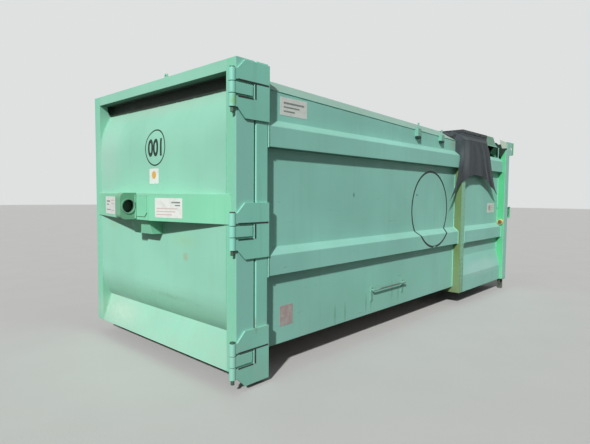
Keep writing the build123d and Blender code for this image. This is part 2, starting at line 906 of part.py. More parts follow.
def press_roof():
    """Roof sheet with chamfered sides, the hole for the hopper and the hood behind it."""
    shoulder = press_root - roof_chamfer
    foot = press_roof_top - roof_chamfer
    inner_shoulder = shoulder - sheet * math.tan(math.radians(22.5))
    half = [(press_root, foot), (shoulder, press_roof_top)]
    inner = [(inner_shoulder, press_roof_top - sheet), (press_root - sheet * math.sqrt(2), foot)]
    outline = half + [(-y, z) for y, z in reversed(half)]
    outline += [(-y, z) for y, z in reversed(inner)] + inner
    roof_sheet = along_x(polygon(outline), press_start, frame_front - plate)
    roof_sheet -= block(collar_start, collar_end, -collar_half_width, collar_half_width,
                        collar_foot - roof_chamfer, press_roof_top + 1)
    side_cut = block(press_end - roof_side_gap, frame_front, shoulder, half_press,
                     foot - sheet, press_roof_top + 1)
    return roof_sheet - both_sides(side_cut) + roof_hood()


def press_end_wall():
    """End wall with the service opening and two pintles for the service door."""
    outline = polygon(press_outline(press_root, press_bottom))
    opening = block(frame_front - plate, frame_front, service_side, service_hinge_side - 25,
                    service_bottom, service_top)
    end_wall = along_x(outline, frame_front - plate, frame_front) - opening
    hinge_x = frame_front + service_hinge_radius + 2
    for height in service_hinge_places:
        foot = block(frame_front, hinge_x, service_hinge_side - wall, service_hinge_side + wall,
                     height, height + 40)
        knuckle = rod_z(service_hinge_radius, height, height + 40, hinge_x, service_hinge_side)
        pintle = rod_z(service_pin_radius, height + 40, height + 85, hinge_x, service_hinge_side)
        end_wall += foot + knuckle + pintle
    return end_wall


def corner_plate():
    """Right-hand plate at the end frame's top corner, with a hole and a flange turned inwards."""
    start = press_end + corner_plate_start
    end = frame_front + corner_plate_reach
    top = press_roof_top - corner_plate_drop
    outline = polygon([
        (start, top - corner_plate_foot),
        (start, top),
        (end, top),
        (end, top - corner_plate_height),
        (frame_front + corner_plate_start / 2, top - corner_plate_foot),
    ])
    outline -= Pos((frame_front + end) / 2, top - corner_plate_height / 2) * Circle(corner_plate_hole)
    upright = along_y(outline, half_frame - plate, half_frame)
    return upright + block(start, end, half_frame - corner_flange, half_frame, top - plate, top)


def end_post():
    """Right-hand post of the end frame: a hollow box with a slanted top and a corner plate."""
    low_top = upper_rib + rib_height
    outline = [
        (press_root, press_bottom),
        (half_frame, press_bottom),
        (half_frame, low_top + end_post_rise),
        (press_root, low_top),
    ]
    inner = [
        (press_root + wall, press_bottom),
        (half_frame - wall, press_bottom),
        (half_frame - wall, low_top + end_post_rise - 3 * wall),
        (press_root + wall, low_top - wall),
    ]
    post = along_x(polygon(outline), press_end, frame_front)
    return post - along_x(polygon(inner), press_end + wall, frame_front - wall) + corner_plate()


def end_post_left():
    """Left-hand end post with a housing on its back whose pocket holds the power inlet."""
    low = inlet_height - inlet_box_height / 2
    high = inlet_height + inlet_box_height / 2
    back = frame_front + inlet_box_length
    housing = block(frame_front, back, -half_frame, -half_frame + inlet_box_width, low, high)
    pocket = block(frame_front + wall, back - wall, -half_frame - 1, inlet_back, low + wall, high - wall)
    rear = block(frame_front + wall, back - wall, inlet_back + wall, -half_frame + inlet_box_width - wall,
                 low + wall, high - wall)
    return other_side(end_post()) + (housing - pocket - rear)


def collar_rectangle(grow):
    """The collar's outline seen from above, grown by a margin."""
    length = collar_end - collar_start + 2 * grow
    centre = Pos((collar_start + collar_end) / 2, 0)
    return centre * Rectangle(length, 2 * (collar_half_width + grow))


def hopper_funnel():
    """Chute from the collar to the chamber's mouth, drawn as one tapered shell."""
    def ring(inset, z, x_to, half_width):
        length = x_to - collar_start - 2 * inset
        centre = Pos((collar_start + x_to) / 2, 0, z)
        return centre * Rectangle(length, 2 * (half_width - inset))
    head = collar_foot
    foot = chamber_top
    foot_half = throat_half_width + plate
    outer = loft([ring(0, foot, mouth_end, foot_half), ring(0, head, collar_end, collar_half_width)])
    inner = loft([ring(wall, foot, mouth_end, foot_half), ring(wall, head, collar_end, collar_half_width)])
    return outer - inner


def hopper_collar():
    """Upright rim of the hopper with a turned-out lip."""
    inside = collar_rectangle(-wall)
    ring = along_z(collar_rectangle(0) - inside, collar_foot, hopper_top)
    lip = along_z(collar_rectangle(collar_lip) - inside, hopper_top - wall, hopper_top)
    return ring + lip


save("press_side_right", press_side())
save("press_side_left", other_side(press_side()))
save("press_bulkhead", press_bulkhead())
save("press_chamber", press_chamber())
save("press_roof", press_roof())
save("press_end_wall", press_end_wall())
save("end_post_right", end_post())
save("end_post_left", end_post_left())
save("hopper_funnel", hopper_funnel())
save("hopper_collar", hopper_collar())


# Loading skirt
def cloth_point(share):
    """A point of the hanging panel's outline from its shares of the eave's length and the drop."""
    return (cloth_start + share[0] * cloth_eave_length, cloth_eave - share[1] * cloth_drop)


def skirt_wave():
    """Plan line of the hanging cloth: shallow folds from one end to the other."""
    start = cloth_point(cloth_left_tip)[0] - 2 * cloth_wave
    step = (cloth_point(cloth_right_tip)[0] + 2 * cloth_wave - start) / (2 * cloth_folds)
    points = []
    for i in range(2 * cloth_folds + 1):
        swing = cloth_wave if i % 2 else -cloth_wave
        points.append((start + i * step, cloth_half_width + swing))
    return Spline(*points)


def skirt_hem():
    """Outline of a hanging panel: flared corners and an arched hem."""
    top = cloth_eave + cloth
    eave_start = (cloth_start, top)
    eave_end = (cloth_start + cloth_eave_length, top)
    left_tip = cloth_point(cloth_left_tip)
    right_tip = cloth_point(cloth_right_tip)
    right = [eave_end] + [cloth_point(share) for share in cloth_right_edge]
    hem = [cloth_point(share) for share in cloth_hem]
    left = [cloth_point(share) for share in cloth_left_edge] + [eave_start]
    curves = [Spline(*right), Spline(*hem), Spline(*left), Line(eave_start, eave_end)]
    tips = [Polyline(right[-1], right_tip, hem[0]), Polyline(hem[-1], left_tip, left[0])]
    return make_face(curves + tips)


def loading_skirt():
    """Cloth laid over the roof round the hopper, with a panel hanging down each side."""
    under = [
        (-cloth_half_width, cloth_eave),
        (-cloth_shoulder, press_roof_top + seat_gap),
        (cloth_shoulder, press_roof_top + seat_gap),
        (cloth_half_width, cloth_eave),
    ]
    cover = make_face(offset(Polyline(*under), cloth, kind=Kind.INTERSECTION, side=Side.LEFT))
    upstand = along_z(collar_rectangle(seat_gap + cloth), cloth_eave, hopper_top - wall - seat_gap)
    below = along_x(polygon(under), cloth_start, cloth_end + cloth)
    skirt = along_x(cover, cloth_start, cloth_end) + (upstand - below)
    skirt -= along_z(collar_rectangle(seat_gap), cloth_eave - cloth, hopper_top)
    corner = polygon([
        (cloth_start + cloth_eave_length, cloth_half_width + 2 * cloth),
        (cloth_end, collar_half_width + cloth_end_gap),
        (cloth_end + 2 * cloth, collar_half_width + cloth_end_gap),
        (cloth_end + 2 * cloth, cloth_half_width + 2 * cloth),
    ])
    skirt -= both_sides(along_z(corner, cloth_eave - 2 * cloth, hopper_top))
    hanging = along_z(trace(skirt_wave(), cloth), 0, cloth_eave + 2 * cloth)
    panel = hanging & along_y(skirt_hem(), cloth_half_width - 50, cloth_half_width + 50)
    return skirt + both_sides(panel)


save("loading_skirt", loading_skirt())


# Ram with two telescopic cylinders
ram_back = ram_front + ram_length
ram_bottom = floor_top + move_gap
ram_top = chamber_top - ram_top_play
ram_half = throat_half_width - ram_side_play


def ram_head():
    """Hollow ram, open at the back, with a thick face and ribs behind it."""
    ram = block(ram_front, ram_back, -ram_half, ram_half, ram_bottom, ram_top)
    ram -= block(ram_front + ram_face, ram_back, -ram_half + ram_wall, ram_half - ram_wall,
                 ram_bottom + ram_wall, ram_top - ram_wall)
    return ram


def cylinder_barrel(y):
    """Outer tube of a cylinder with its foot on the end wall."""
    start = cylinder_base - cylinder_length
    barrel = rod_x(barrel_radius, start, cylinder_base, y, cylinder_height)
    barrel += along_x(Pos(y, cylinder_height) * RectangleRounded(220, 220, 20),
                      cylinder_base - 25, cylinder_base)
    hollow = rod_x(stage_radius + seat_gap, start - 1, cylinder_base - 30, y, cylinder_height)
    return barrel - hollow


def cylinder_stage(y):
    """Middle tube, which slides out of the barrel by half the ram's stroke."""
    end = cylinder_base - 32
    start = end - stage_length
    stage = rod_x(stage_radius, start, end, y, cylinder_height)
    return stage - rod_x(rod_radius + seat_gap, start - 1, end - 20, y, cylinder_height)


def cylinder_rod(y):
    """Rod whose head is held behind the ram's face."""
    end = cylinder_base - 55
    rod = rod_x(rod_radius, ram_front + ram_face, end, y, cylinder_height)
    return rod


cylinder_places = (-cylinder_spacing / 2, cylinder_spacing / 2)
save("ram_head", ram_head())
save("cylinder_barrels", Compound(children=[cylinder_barrel(y) for y in cylinder_places]))
save("cylinder_stages", Compound(children=[cylinder_stage(y) for y in cylinder_places]))
save("cylinder_rods", Compound(children=[cylinder_rod(y) for y in cylinder_places]))


# Clamp bars that hold the cloth to the collar
def skirt_clamp_bars():
    """Four flat bars round the collar, pressed on the cloth's inner edge."""
    low = press_roof_top + seat_gap + cloth
    high = min(low + clamp_bar_height, hopper_top - wall - seat_gap)
    inner = seat_gap + cloth
    return along_z(collar_rectangle(inner + clamp_bar) - collar_rectangle(inner), low, high)


save("skirt_clamp_bars", skirt_clamp_bars())


# Power pack on the chamber's cover
def oil_tank():
    """Oil tank with rounded upright edges, feet, a lid with a rim and a filler neck."""
    centre = Pos(tank_start + tank_length / 2, -tank_side + tank_width / 2)
    foot_height = 30
    low = deck + foot_height
    tank = along_z(centre * RectangleRounded(tank_length, tank_width, 30), low, low + tank_height)
    tank += along_z(centre * RectangleRounded(tank_length + 24, tank_width + 24, 42),
                    low + tank_height, low + tank_height + 10)
    for side in (-1, 1):
        foot_y = -tank_side + tank_width / 2 + side * (tank_width / 2 - 60)
        tank += block(tank_start + 40, tank_start + tank_length - 40, foot_y - 25, foot_y + 25, deck, low)
    neck_x = tank_start + tank_length - 110
    neck_y = -tank_side + tank_width - 110
    tank += rod_z(45, low + tank_height, low + tank_height + 70, neck_x, neck_y)
    tank -= along_z(centre * RectangleRounded(tank_length - 2 * wall, tank_width - 2 * wall, 24),
                    low + wall, low + tank_height)
    return tank - rod_z(38, low + tank_height - 1, low + tank_height + 71, neck_x, neck_y)


def pump_motor():
    """Upright electric motor with cooling fins, a fan cover and a bell on the tank's lid."""
    low = deck + 30 + tank_height + 10
    fin_step = 30
    fin_low = low + 110
    fin_count = int((motor_height - 90) / fin_step)
    motor = rod_z(motor_radius - 30, low, low + 110, motor_x, motor_y)
    motor += rod_z(motor_radius, low, low + 14, motor_x, motor_y)
    motor += rod_z(motor_radius - 14, fin_low, fin_low + motor_height - 60, motor_x, motor_y)
    for i in range(fin_count):
        motor += rod_z(motor_radius, fin_low + i * fin_step, fin_low + i * fin_step + 10, motor_x, motor_y)
    cover_low = fin_low + motor_height - 60
    motor += rod_z(motor_radius + 4, cover_low - 20, cover_low + 60, motor_x, motor_y)
    motor += block(motor_x - 70, motor_x + 70, motor_y + motor_radius - 30, motor_y + motor_radius + 70,
                   fin_low + 120, fin_low + 260)
    return motor


save("oil_tank", oil_tank())
save("pump_motor", pump_motor())


# Hook frame
def hook_frame():
    """Two welded legs, open towards the wall, a head plate and the cheeks of the hook bar."""
    foot_low = runner_bottom + runner_height
    head_half = hook_clear_width / 2
    leg = polygon([
        (-hook_foot_half, foot_low),
        (-hook_foot_half + hook_leg_foot, foot_low),
        (-head_half, hook_frame_top),
        (-head_half - hook_leg_head, hook_frame_top),
    ])
    tie_low = hook_bar_height - 20
    low_tie = Pos(0, 640) * Rectangle(2 * (hook_foot_half - 140), 70)
    head = Pos(0, (tie_low + hook_frame_top) / 2) * Rectangle(2 * (head_half + 60), hook_frame_top - tie_low)
    front_view = leg + mirror(leg, about=Plane.YZ) + low_tie + head
    frame = along_x(front_view, frame_front, frame_front + hook_leg_depth)
    frame -= along_x(offset(front_view, -plate, kind=Kind.INTERSECTION), frame_front,
                     frame_front + hook_leg_depth - plate)
    cheek = polygon([
        (frame_front, hook_bar_height - 190),
        (hook_bar_x, hook_bar_height - hook_cheek_radius),
        (hook_bar_x, hook_bar_height + hook_cheek_radius),
        (frame_front, hook_frame_top),
    ])
    cheek += Pos(hook_bar_x, hook_bar_height) * Circle(hook_cheek_radius)
    cheek -= Pos(hook_bar_x, hook_bar_height) * Circle(hook_bar_radius + running_gap)
    frame += both_sides(along_y(cheek, head_half, head_half + hook_cheek))
    return frame


def hook_bar():
    """Round bar through both cheeks, with a chamfer at each end."""
    half = hook_clear_width / 2 + hook_cheek
    bar = rod_y(hook_bar_radius, -half, half, hook_bar_x, hook_bar_height)
    return chamfer(bar.edges().filter_by(GeomType.CIRCLE), 3)


save("hook_frame", hook_frame())
save("hook_bar", hook_bar())


# Front feet under the end frame
def front_foot():
    """Flat foot with a plate on the ground and a strut that leans against it."""
    y_in = half_press - foot_width
    foot = block(foot_start + foot_length - 20, foot_start + foot_length, y_in, half_press, 0, press_bottom)
    foot += block(foot_start, foot_start + foot_length, y_in, half_press, 0, foot_plate)
    strut = polygon([
        (foot_start + 6, foot_plate),
        (foot_start + 24, foot_plate),
        (foot_start - foot_strut_spread + 48, press_bottom),
        (foot_start - foot_strut_spread + 24, press_bottom),
    ])
    foot += along_y(strut, y_in + 10, half_press - 10)
    foot += block(foot_start - foot_strut_spread, foot_start + foot_length, press_root, half_frame,
                  press_bottom - plate, press_bottom)
    return foot


save("front_feet", both_sides(front_foot()))


# Service door on the end wall
service_handle_y = service_side + 45
service_handle_z = (service_bottom + service_top) / 2


def service_door():
    """Flat door with folded edges, two knuckles on the wall's pintles and a hole for its handle."""
    back = frame_front + move_gap
    front = back + 22
    y_low = service_side - service_overlap
    y_high = service_hinge_side - 14
    z_low = service_bottom - service_overlap
    z_high = service_top + service_overlap
    door = block(back, front, y_low, y_high, z_low, z_high)
    door -= block(back - 1, front - service_door_plate, y_low + service_door_plate,
                  y_high - service_door_plate, z_low + service_door_plate, z_high - service_door_plate)
    for height in service_hinge_places:
        low = height + 40 + move_gap
        door += block(service_hinge_x - 5, service_hinge_x + 5, y_high - 2, service_hinge_side,
                      low, low + 45)
        door += rod_z(service_hinge_radius, low, low + 45, service_hinge_x, service_hinge_side)
        door -= rod_z(service_pin_radius + running_gap, low - 1, low + 46, service_hinge_x,
                      service_hinge_side)
    return door - rod_x(9 + running_gap, back, front + 1, service_handle_y, service_handle_z)


def service_door_handle():
    """Turn handle: a spindle through the door, a round rose and a lever that hangs down."""
    face = frame_front + move_gap + 22
    handle = rod_x(9, face - service_door_plate - 8, face + 30, service_handle_y, service_handle_z)
    handle += rod_x(22, face + seat_gap, face + 14, service_handle_y, service_handle_z)
    lever = Pos(service_handle_y, service_handle_z - 50) * SlotOverall(140, 26, rotation=90)
    handle += along_x(lever, face + 14, face + 28)
    return handle


save("service_door", service_door())
save("service_door_handle", service_door_handle())


# Control box with its main switch
control_face = frame_front + control_depth
switch_y = control_side - control_width / 2
switch_z = control_bottom + control_height * 0.62


def control_box():
    """Cabinet with a rain roof, a raised lid and a hole for the switch's spindle."""
    z_top = control_bottom + control_height
    box = block(frame_front, control_face - 30, control_side - control_width, control_side,
                control_bottom, z_top)
    box += block(control_face - 30, control_face, control_side - control_width - 6, control_side + 6,
                 control_bottom - 6, z_top + 6)
    rain_roof = polygon([
        (frame_front, z_top + 6),
        (control_face + 25, z_top + 6),
        (control_face + 25, z_top + 14),
        (frame_front, z_top + 60),
    ])
    box += along_y(rain_roof, control_side - control_width - 20, control_side + 20)
    box -= block(frame_front, control_face - wall, control_side - control_width + wall, control_side - wall,
                 control_bottom + wall, z_top - wall)
    return box - rod_x(8 + running_gap, control_face - 25, control_face + 1, switch_y, switch_z)


def main_switch():
    """Round switch with a grip across it on a spindle."""
    switch = rod_x(8, control_face - 20, control_face + 6, switch_y, switch_z)
    switch += rod_x(switch_radius, control_face + seat_gap, control_face + 12, switch_y, switch_z)
    grip = Pos(switch_y, switch_z) * SlotOverall(2 * switch_radius - 4, 16, rotation=90)
    switch += along_x(grip, control_face + 12, control_face + 30)
    return switch


save("control_box", control_box())
save("main_switch", main_switch())


# Emergency stop on the end frame's side towards the tailgate
stop_y = -(half_frame - stop_radius)
stop_face = 34.0
stop_stem = 8.0


def emergency_stop_ring():
    """Round shroud with a raised rim and a bore for the button's stem."""
    face = press_end - stop_face
    body = rod_x(stop_radius, face, press_end, stop_y, stop_height)
    rim = rod_x(stop_radius - 4, face - 14, face, stop_y, stop_height)
    rim -= rod_x(stop_button_radius + 3, face - 15, face, stop_y, stop_height)
    body = chamfer(body.edges().filter_by(GeomType.CIRCLE).sort_by(Axis.X)[0], 3)
    return body + rim - rod_x(stop_stem + running_gap, face - 1, press_end, stop_y, stop_height)


def emergency_stop_button():
    """Domed push button on a stem, stood off by its travel."""
    head_back = press_end - stop_face - seat_gap - stop_travel
    head = rod_x(stop_button_radius, head_back - 20, head_back, stop_y, stop_height)
    head = fillet(head.edges().filter_by(GeomType.CIRCLE).sort_by(Axis.X)[0], 11)
    return head + rod_x(stop_stem, head_back, press_end - stop_travel - 4, stop_y, stop_height)


save("emergency_stop_ring", emergency_stop_ring())
save("emergency_stop_button", emergency_stop_button())


# Power inlet in the housing behind the left end post
def power_inlet():
    """Flange and hollow socket with five contact pins, and ears for the flap."""
    flange = Pos(inlet_x, inlet_height) * RectangleRounded(110, 130, 12)
    inlet = along_y(flange, inlet_back - 8, inlet_back)
    inlet += rod_y(inlet_radius, inlet_back - 40, inlet_back, inlet_x, inlet_height)
    inlet -= rod_y(inlet_radius - 5, inlet_back - 41, inlet_back - 10, inlet_x, inlet_height)
    for i in range(5):
        angle = math.radians(72 * i)
        pin_x = inlet_x + 20 * math.sin(angle)
        pin_z = inlet_height + 20 * math.cos(angle)
        inlet += rod_y(4, inlet_back - 32, inlet_back - 8, pin_x, pin_z)
    for side in (-1, 1):
        ear_x = inlet_x + side * 22
        ear = block(ear_x - 4, ear_x + 4, inlet_back - 48, inlet_back - 6, flap_axis_z - 9, flap_axis_z + 9)
        inlet += ear
    return inlet - rod_x(3 + running_gap, inlet_x - 30, inlet_x + 30, flap_axis_y, flap_axis_z)


def inlet_flap():
    """Round spring lid on a short hinge pin above the socket."""
    back = inlet_back - 40 - move_gap
    lid = Pos(inlet_x, inlet_height) * Circle(inlet_radius + 2)
    flap = along_y(lid, back - 7, back)
    flap += block(inlet_x - 16, inlet_x + 16, back - 7, back, inlet_height, flap_axis_z)
    flap += rod_x(5, inlet_x - 16, inlet_x + 16, flap_axis_y, flap_axis_z)
    flap += rod_x(3, inlet_x - 26, inlet_x + 26, flap_axis_y, flap_axis_z)
    return flap


save("power_inlet", power_inlet())
save("inlet_flap", inlet_flap())


# Stake pockets below the roof's edge and the low bar on the left side
def stake_pocket(start):
    """Folded pocket open at the top and bottom, with a shelf inside on which a round stake stands."""
    top = roof_height(start + stake_width / 2) - roof_chamfer + 14
    shelf = stake_bottom + stake_shelf
    pocket = block(start, start + stake_width, body_root, body_root + stake_depth, stake_bottom, top)
    pocket -= block(start + stake_wall, start + stake_width - stake_wall,
                    body_root, body_root + stake_depth - stake_wall, stake_bottom - 1, top + 1)
    pocket += block(start + stake_wall, start + stake_width - stake_wall,
                    body_root, body_root + stake_depth - stake_wall, shelf, shelf + stake_wall)
    return pocket + rod_z(stake_pin_radius, shelf, top + stake_pin_rise,
                          start + stake_width / 2, body_root + stake_depth / 2)


def side_bar():
    """Round bar along the left side, bent in at both ends onto flat pads."""
    y_wall = -body_root
    y_bar = y_wall - side_bar_standoff
    end = side_bar_start + side_bar_length
    half_pad = side_bar_pad_width / 2
    pad_top = side_bar_height + side_bar_pad_above
    bar = rod_x(side_bar_radius, side_bar_start, end, y_bar, side_bar_height)
    for x in (side_bar_start + half_pad, end - half_pad):
        bar += rod_y(side_bar_radius, y_bar, y_wall, x, side_bar_height)
        bar += block(x - half_pad, x + half_pad, y_wall - plate, y_wall,
                     pad_top - side_bar_pad_height, pad_top)
    return bar


save("stake_pockets", both_sides(stake_pocket(stake_starts[0]) + stake_pocket(stake_starts[1])))
save("side_bar", side_bar())
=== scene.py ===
"""Roll-off compactor with a side-hinged tailgate: finishes, painted marks, plates, cloth and small
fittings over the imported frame. Metres, X from the tailgate to the hook end, Z up from the ground."""

import math

import bmesh
import bpy
from bpy.props import FloatProperty, FloatVectorProperty, IntProperty, PointerProperty, StringProperty
from mathutils import Matrix, Vector
from mathutils.bvhtree import BVHTree


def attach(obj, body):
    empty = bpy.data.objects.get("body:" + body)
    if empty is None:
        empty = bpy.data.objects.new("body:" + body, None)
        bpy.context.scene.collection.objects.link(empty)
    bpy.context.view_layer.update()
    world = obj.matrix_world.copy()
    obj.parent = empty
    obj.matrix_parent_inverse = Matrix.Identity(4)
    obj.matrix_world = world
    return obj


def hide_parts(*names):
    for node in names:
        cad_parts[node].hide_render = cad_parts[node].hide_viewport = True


bl_info = {
    "name": "Roll-off compactor",
    "version": (1, 0, 0),
    "blender": (4, 5, 0),
    "location": "3D View > Sidebar > Compactor",
    "description": "Dresses the frame of a roll-off compactor with paint, marks, plates, cloth and fittings",
    "category": "Object",
}

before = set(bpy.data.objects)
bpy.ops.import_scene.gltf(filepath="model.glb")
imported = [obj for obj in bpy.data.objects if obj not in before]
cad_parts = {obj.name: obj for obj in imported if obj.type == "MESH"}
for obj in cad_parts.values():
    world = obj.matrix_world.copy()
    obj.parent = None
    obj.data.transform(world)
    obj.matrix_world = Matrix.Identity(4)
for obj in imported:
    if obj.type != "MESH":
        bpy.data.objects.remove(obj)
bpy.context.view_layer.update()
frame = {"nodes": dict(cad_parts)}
NODES = frame["nodes"]
MADE = {}

# X of the tailgate's outer face in the frame, in metres, and the ways that faces look
FACE = -2.8285
UP, OUT, ONWARD, LEFT = Vector((0, 0, 1)), Vector((-1, 0, 0)), Vector((1, 0, 0)), Vector((0, -1, 0))
# How far the sheets of the body's and the press's sides stand out from the middle, in millimetres
BODY_SIDE, PRESS_SIDE = 1130, 1164
# Heights of the hinges' middles, and where the tailgate's sheet starts to roll inwards: height, way,
# reach and radius, in millimetres
HINGES = (2349.5, 1266, 259.5)
ROLLS = ((1970, 1, 421, 771.5), (735, -1, 304, 524.9))


def at(x, y, z):
    """A point in the frame from millimetres, with x counted from the tailgate's outer face."""
    return Vector((FACE + x / 1000, y / 1000, z / 1000))


def linear(code):
    """An sRGB hex colour as linear red, green and blue."""
    parts = [int(code[i:i + 2], 16) / 255 for i in (1, 3, 5)]
    return tuple(p / 12.92 if p <= 0.04045 else ((p + 0.055) / 1.055) ** 2.4 for p in parts)


# Settings that a user would change
def colour_setting(name, description, code):
    """A colour setting with its default from a hex value."""
    return FloatVectorProperty(name=name, description=description, subtype="COLOR", size=3,
                               min=0, max=1, default=linear(code))


def length_setting(name, description, default):
    """A length setting in metres."""
    return FloatProperty(name=name, description=description, default=default, min=0, subtype="DISTANCE",
                         unit="LENGTH")


class CompactorPaint(bpy.types.PropertyGroup):
    """Paint colours and how worn they are."""

    door: colour_setting("Tailgate paint", "Pale green of the tailgate", "#97d6bc")
    # Painted sky light: the sides' paint is the tailgate's green made bluer.
    side: colour_setting("Side paint", "Faded, slightly blue green of the sides", "#98dac8")
    frame: colour_setting("Frame paint", "Green of the posts and hinge plates", "#92dec8")
    end: colour_setting("End frame paint", "Fresher green of the end frame", "#5ac588")
    step: colour_setting("Step paint", "Olive of the step between body and press", "#6d8856")
    lug: colour_setting("Lug paint", "Worn darker green of the pull lug", "#6dae8b")
    dust: colour_setting("Dust", "Pale road dust on ledges and low down", "#b9bcab")
    grime: colour_setting("Grime", "Dark run-off dirt", "#5d6b5a")
    rust: colour_setting("Rust", "Rust at chips and seams", "#7a4a2c")
    mark: colour_setting("Marks", "Dark green of the painted ring and number", "#0d261e")
    wear: FloatProperty(name="Wear", description="Share of the full wear that shows", default=1, min=0,
                        max=2, subtype="FACTOR")


class CompactorMarks(bpy.types.PropertyGroup):
    """The painted ring with its number on the tailgate and the large ring on the left side."""

    number: StringProperty(name="Number", description="Plain number in the ring", default="001")
    ring_width: length_setting("Ring width", "Width of the ring on the tailgate", 0.350)
    ring_height: length_setting("Ring height", "Height of the ring on the tailgate", 0.3375)
    line: length_setting("Line", "Width of the ring's painted line", 0.013)
    digit_height: length_setting("Digit height", "Height of the digits", 0.164)
    number_width: length_setting("Number width", "Width of the whole number", 0.240)
    side_ring: length_setting("Side ring", "Diameter of the ring on the side", 0.990)
    side_line: length_setting("Side line", "Width of the side ring's line", 0.026)
    film: length_setting("Film", "Thickness of the paint film", 0.0006)


class CompactorPlates(bpy.types.PropertyGroup):
    """Printed plates, which stay without words."""

    white: colour_setting("Plate", "White enamel of the plates", "#e6eae4")
    print_grey: colour_setting("Print", "Faded grey shapes on the plates", "#7d8683")
    amber: colour_setting("Amber", "Amber field on the small plate", "#e0a83a")
    thickness: length_setting("Thickness", "Thickness of a plate", 0.0015)
    corner: length_setting("Corner", "Corner radius of a plate", 0.008)


class CompactorCloth(bpy.types.PropertyGroup):
    """The loading skirt laid round the hopper."""

    colour: colour_setting("Cloth", "Dark grey coated cloth", "#394246")
    thickness: length_setting("Thickness", "Thickness of the coated cloth", 0.0025)
    fold_depth: length_setting("Fold depth", "Height of a fold at the hem", 0.011)
    folds: IntProperty(name="Folds", description="Folds along one hanging panel", default=5, min=1, max=12)


class CompactorStage(bpy.types.PropertyGroup):
    """Camera, floor and lights."""

    lens: FloatProperty(name="Lens", description="Focal length in millimetres", default=28.17, min=1)
    camera: FloatVectorProperty(name="Camera", description="Place of the camera", subtype="TRANSLATION",
                                unit="LENGTH", default=tuple(at(-2272, -3914, 1557)))
    floor: colour_setting("Floor", "Pale floor", "#d6d5d2")
    backdrop: colour_setting("Backdrop", "Pale background", "#dfe1e1")
    key: FloatProperty(name="Key light", description="Strength of the main light", default=3.315, min=0)
    key_angle: FloatProperty(name="Key size", description="Angle of the main light's disc", min=0,
                             default=math.radians(2.5), subtype="ANGLE", unit="ROTATION")
    fill: FloatProperty(name="Fill light", description="Strength of the even light all round",
                        default=0.20, min=0)


def settings(group):
    """One of the scene's setting groups."""
    return getattr(bpy.context.scene, "compactor_" + group)


# Nodes and patterns
MIX, RANGE, MATH = "ShaderNodeMix", "ShaderNodeMapRange", "ShaderNodeMath"
VECTOR, SPLIT = "ShaderNodeVectorMath", "ShaderNodeSeparateXYZ"
TIMES = {"operation": "MULTIPLY"}
PLUS = {"operation": "ADD", "use_clamp": True}


def add(tree, kind, inputs=(), output=0, **options):
    """Adds a node with its options and inputs, and returns one of its output sockets.

    Inputs come in order or by key: a socket is linked, and anything else is a constant."""
    made = tree.nodes.new(kind)
    for key, value in options.items():
        setattr(made, key, value)
    for key, value in inputs.items() if isinstance(inputs, dict) else enumerate(inputs):
        socket = made.inputs[key]
        if isinstance(value, bpy.types.NodeSocket):
            tree.links.new(value, socket)
        else:
            socket.default_value = (*value, 1)[:4] if socket.type == "RGBA" else value
    return made.outputs[output] if made.outputs else None


def layered(tree, base, *layers):
    """Colour socket of some layers over a base colour, each given as its mask and its colour."""
    # The mix node's sockets for colours are its inputs 6 and 7 and its output 2.
    for mask, colour in layers:
        base = add(tree, MIX, {0: mask, 6: base, 7: colour}, 2, data_type="RGBA")
    return base


def clouds(tree, place, scale, stretch=(1, 1, 1), detail=3, roughness=0.55, offset=(0, 0, 0)):
    """Noise value whose scale is in waves per metre, stretched along the axes."""
    mapped = add(tree, "ShaderNodeMapping", {"Vector": place, "Scale": stretch, "Location": offset})
    return add(tree, "ShaderNodeTexNoise", {"Vector": mapped, "Scale": scale, "Detail": detail,
                                            "Roughness": roughness})


def spot(tree, place, centre, size, soft):
    """Mask that is one inside an ellipsoid and fades to nothing at its edge."""
    shifted = add(tree, VECTOR, (place, centre), operation="SUBTRACT")
    scaled = add(tree, VECTOR, (shifted, size), operation="DIVIDE")
    distance = add(tree, VECTOR, (scaled,), 1, operation="LENGTH")
    return add(tree, RANGE, (distance, 1 - soft, 1, 1, 0))


def edge_mask(tree):
    """Mask of the outer edges: how far a normal rounded over 6 mm leaves the true one."""
    rounded = add(tree, "ShaderNodeBevel", {"Radius": 0.006}, samples=4)
    true = add(tree, "ShaderNodeNewGeometry", output="True Normal")
    along = add(tree, VECTOR, (rounded, true), 1, operation="DOT_PRODUCT")
    return add(tree, RANGE, (along, 0.84, 0.98, 1, 0))


def seen_mask(tree):
    """Mask that is one for what the camera sees, by itself, as a shine or through glass."""
    mask = 0.0
    for ray in ("Is Camera Ray", "Is Glossy Ray", "Is Transmission Ray"):
        mask = add(tree, MATH, (mask, add(tree, "ShaderNodeLightPath", output=ray)), **PLUS)
    return mask


def start_material(name):
    """Makes an empty material and keeps it by its name. Gives its tree and its object coordinates."""
    material = MADE[name] = bpy.data.materials.new(name)
    material.use_nodes = True
    tree = material.node_tree
    tree.nodes.clear()
    return tree, add(tree, "ShaderNodeTexCoord", output="Object")


def end_material(tree, colour, roughness, bump=(), edge=0.0, **constants):
    """Joins colour, roughness and normal to the shader. edge rounds the edges in the shading."""
    inputs = {"Base Color": colour, "Roughness": roughness}
    for key, value in constants.items():
        inputs[key.replace("_", " ")] = value
    if edge:
        inputs["Normal"] = add(tree, "ShaderNodeBevel", {"Radius": edge}, samples=4)
    for height, distance in bump:
        relief = {"Height": height, "Distance": distance, "Strength": 1.0}
        if "Normal" in inputs:
            relief["Normal"] = inputs["Normal"]
        inputs["Normal"] = add(tree, "ShaderNodeBump", relief)
    add(tree, "ShaderNodeOutputMaterial", (add(tree, "ShaderNodeBsdfPrincipled", inputs),))


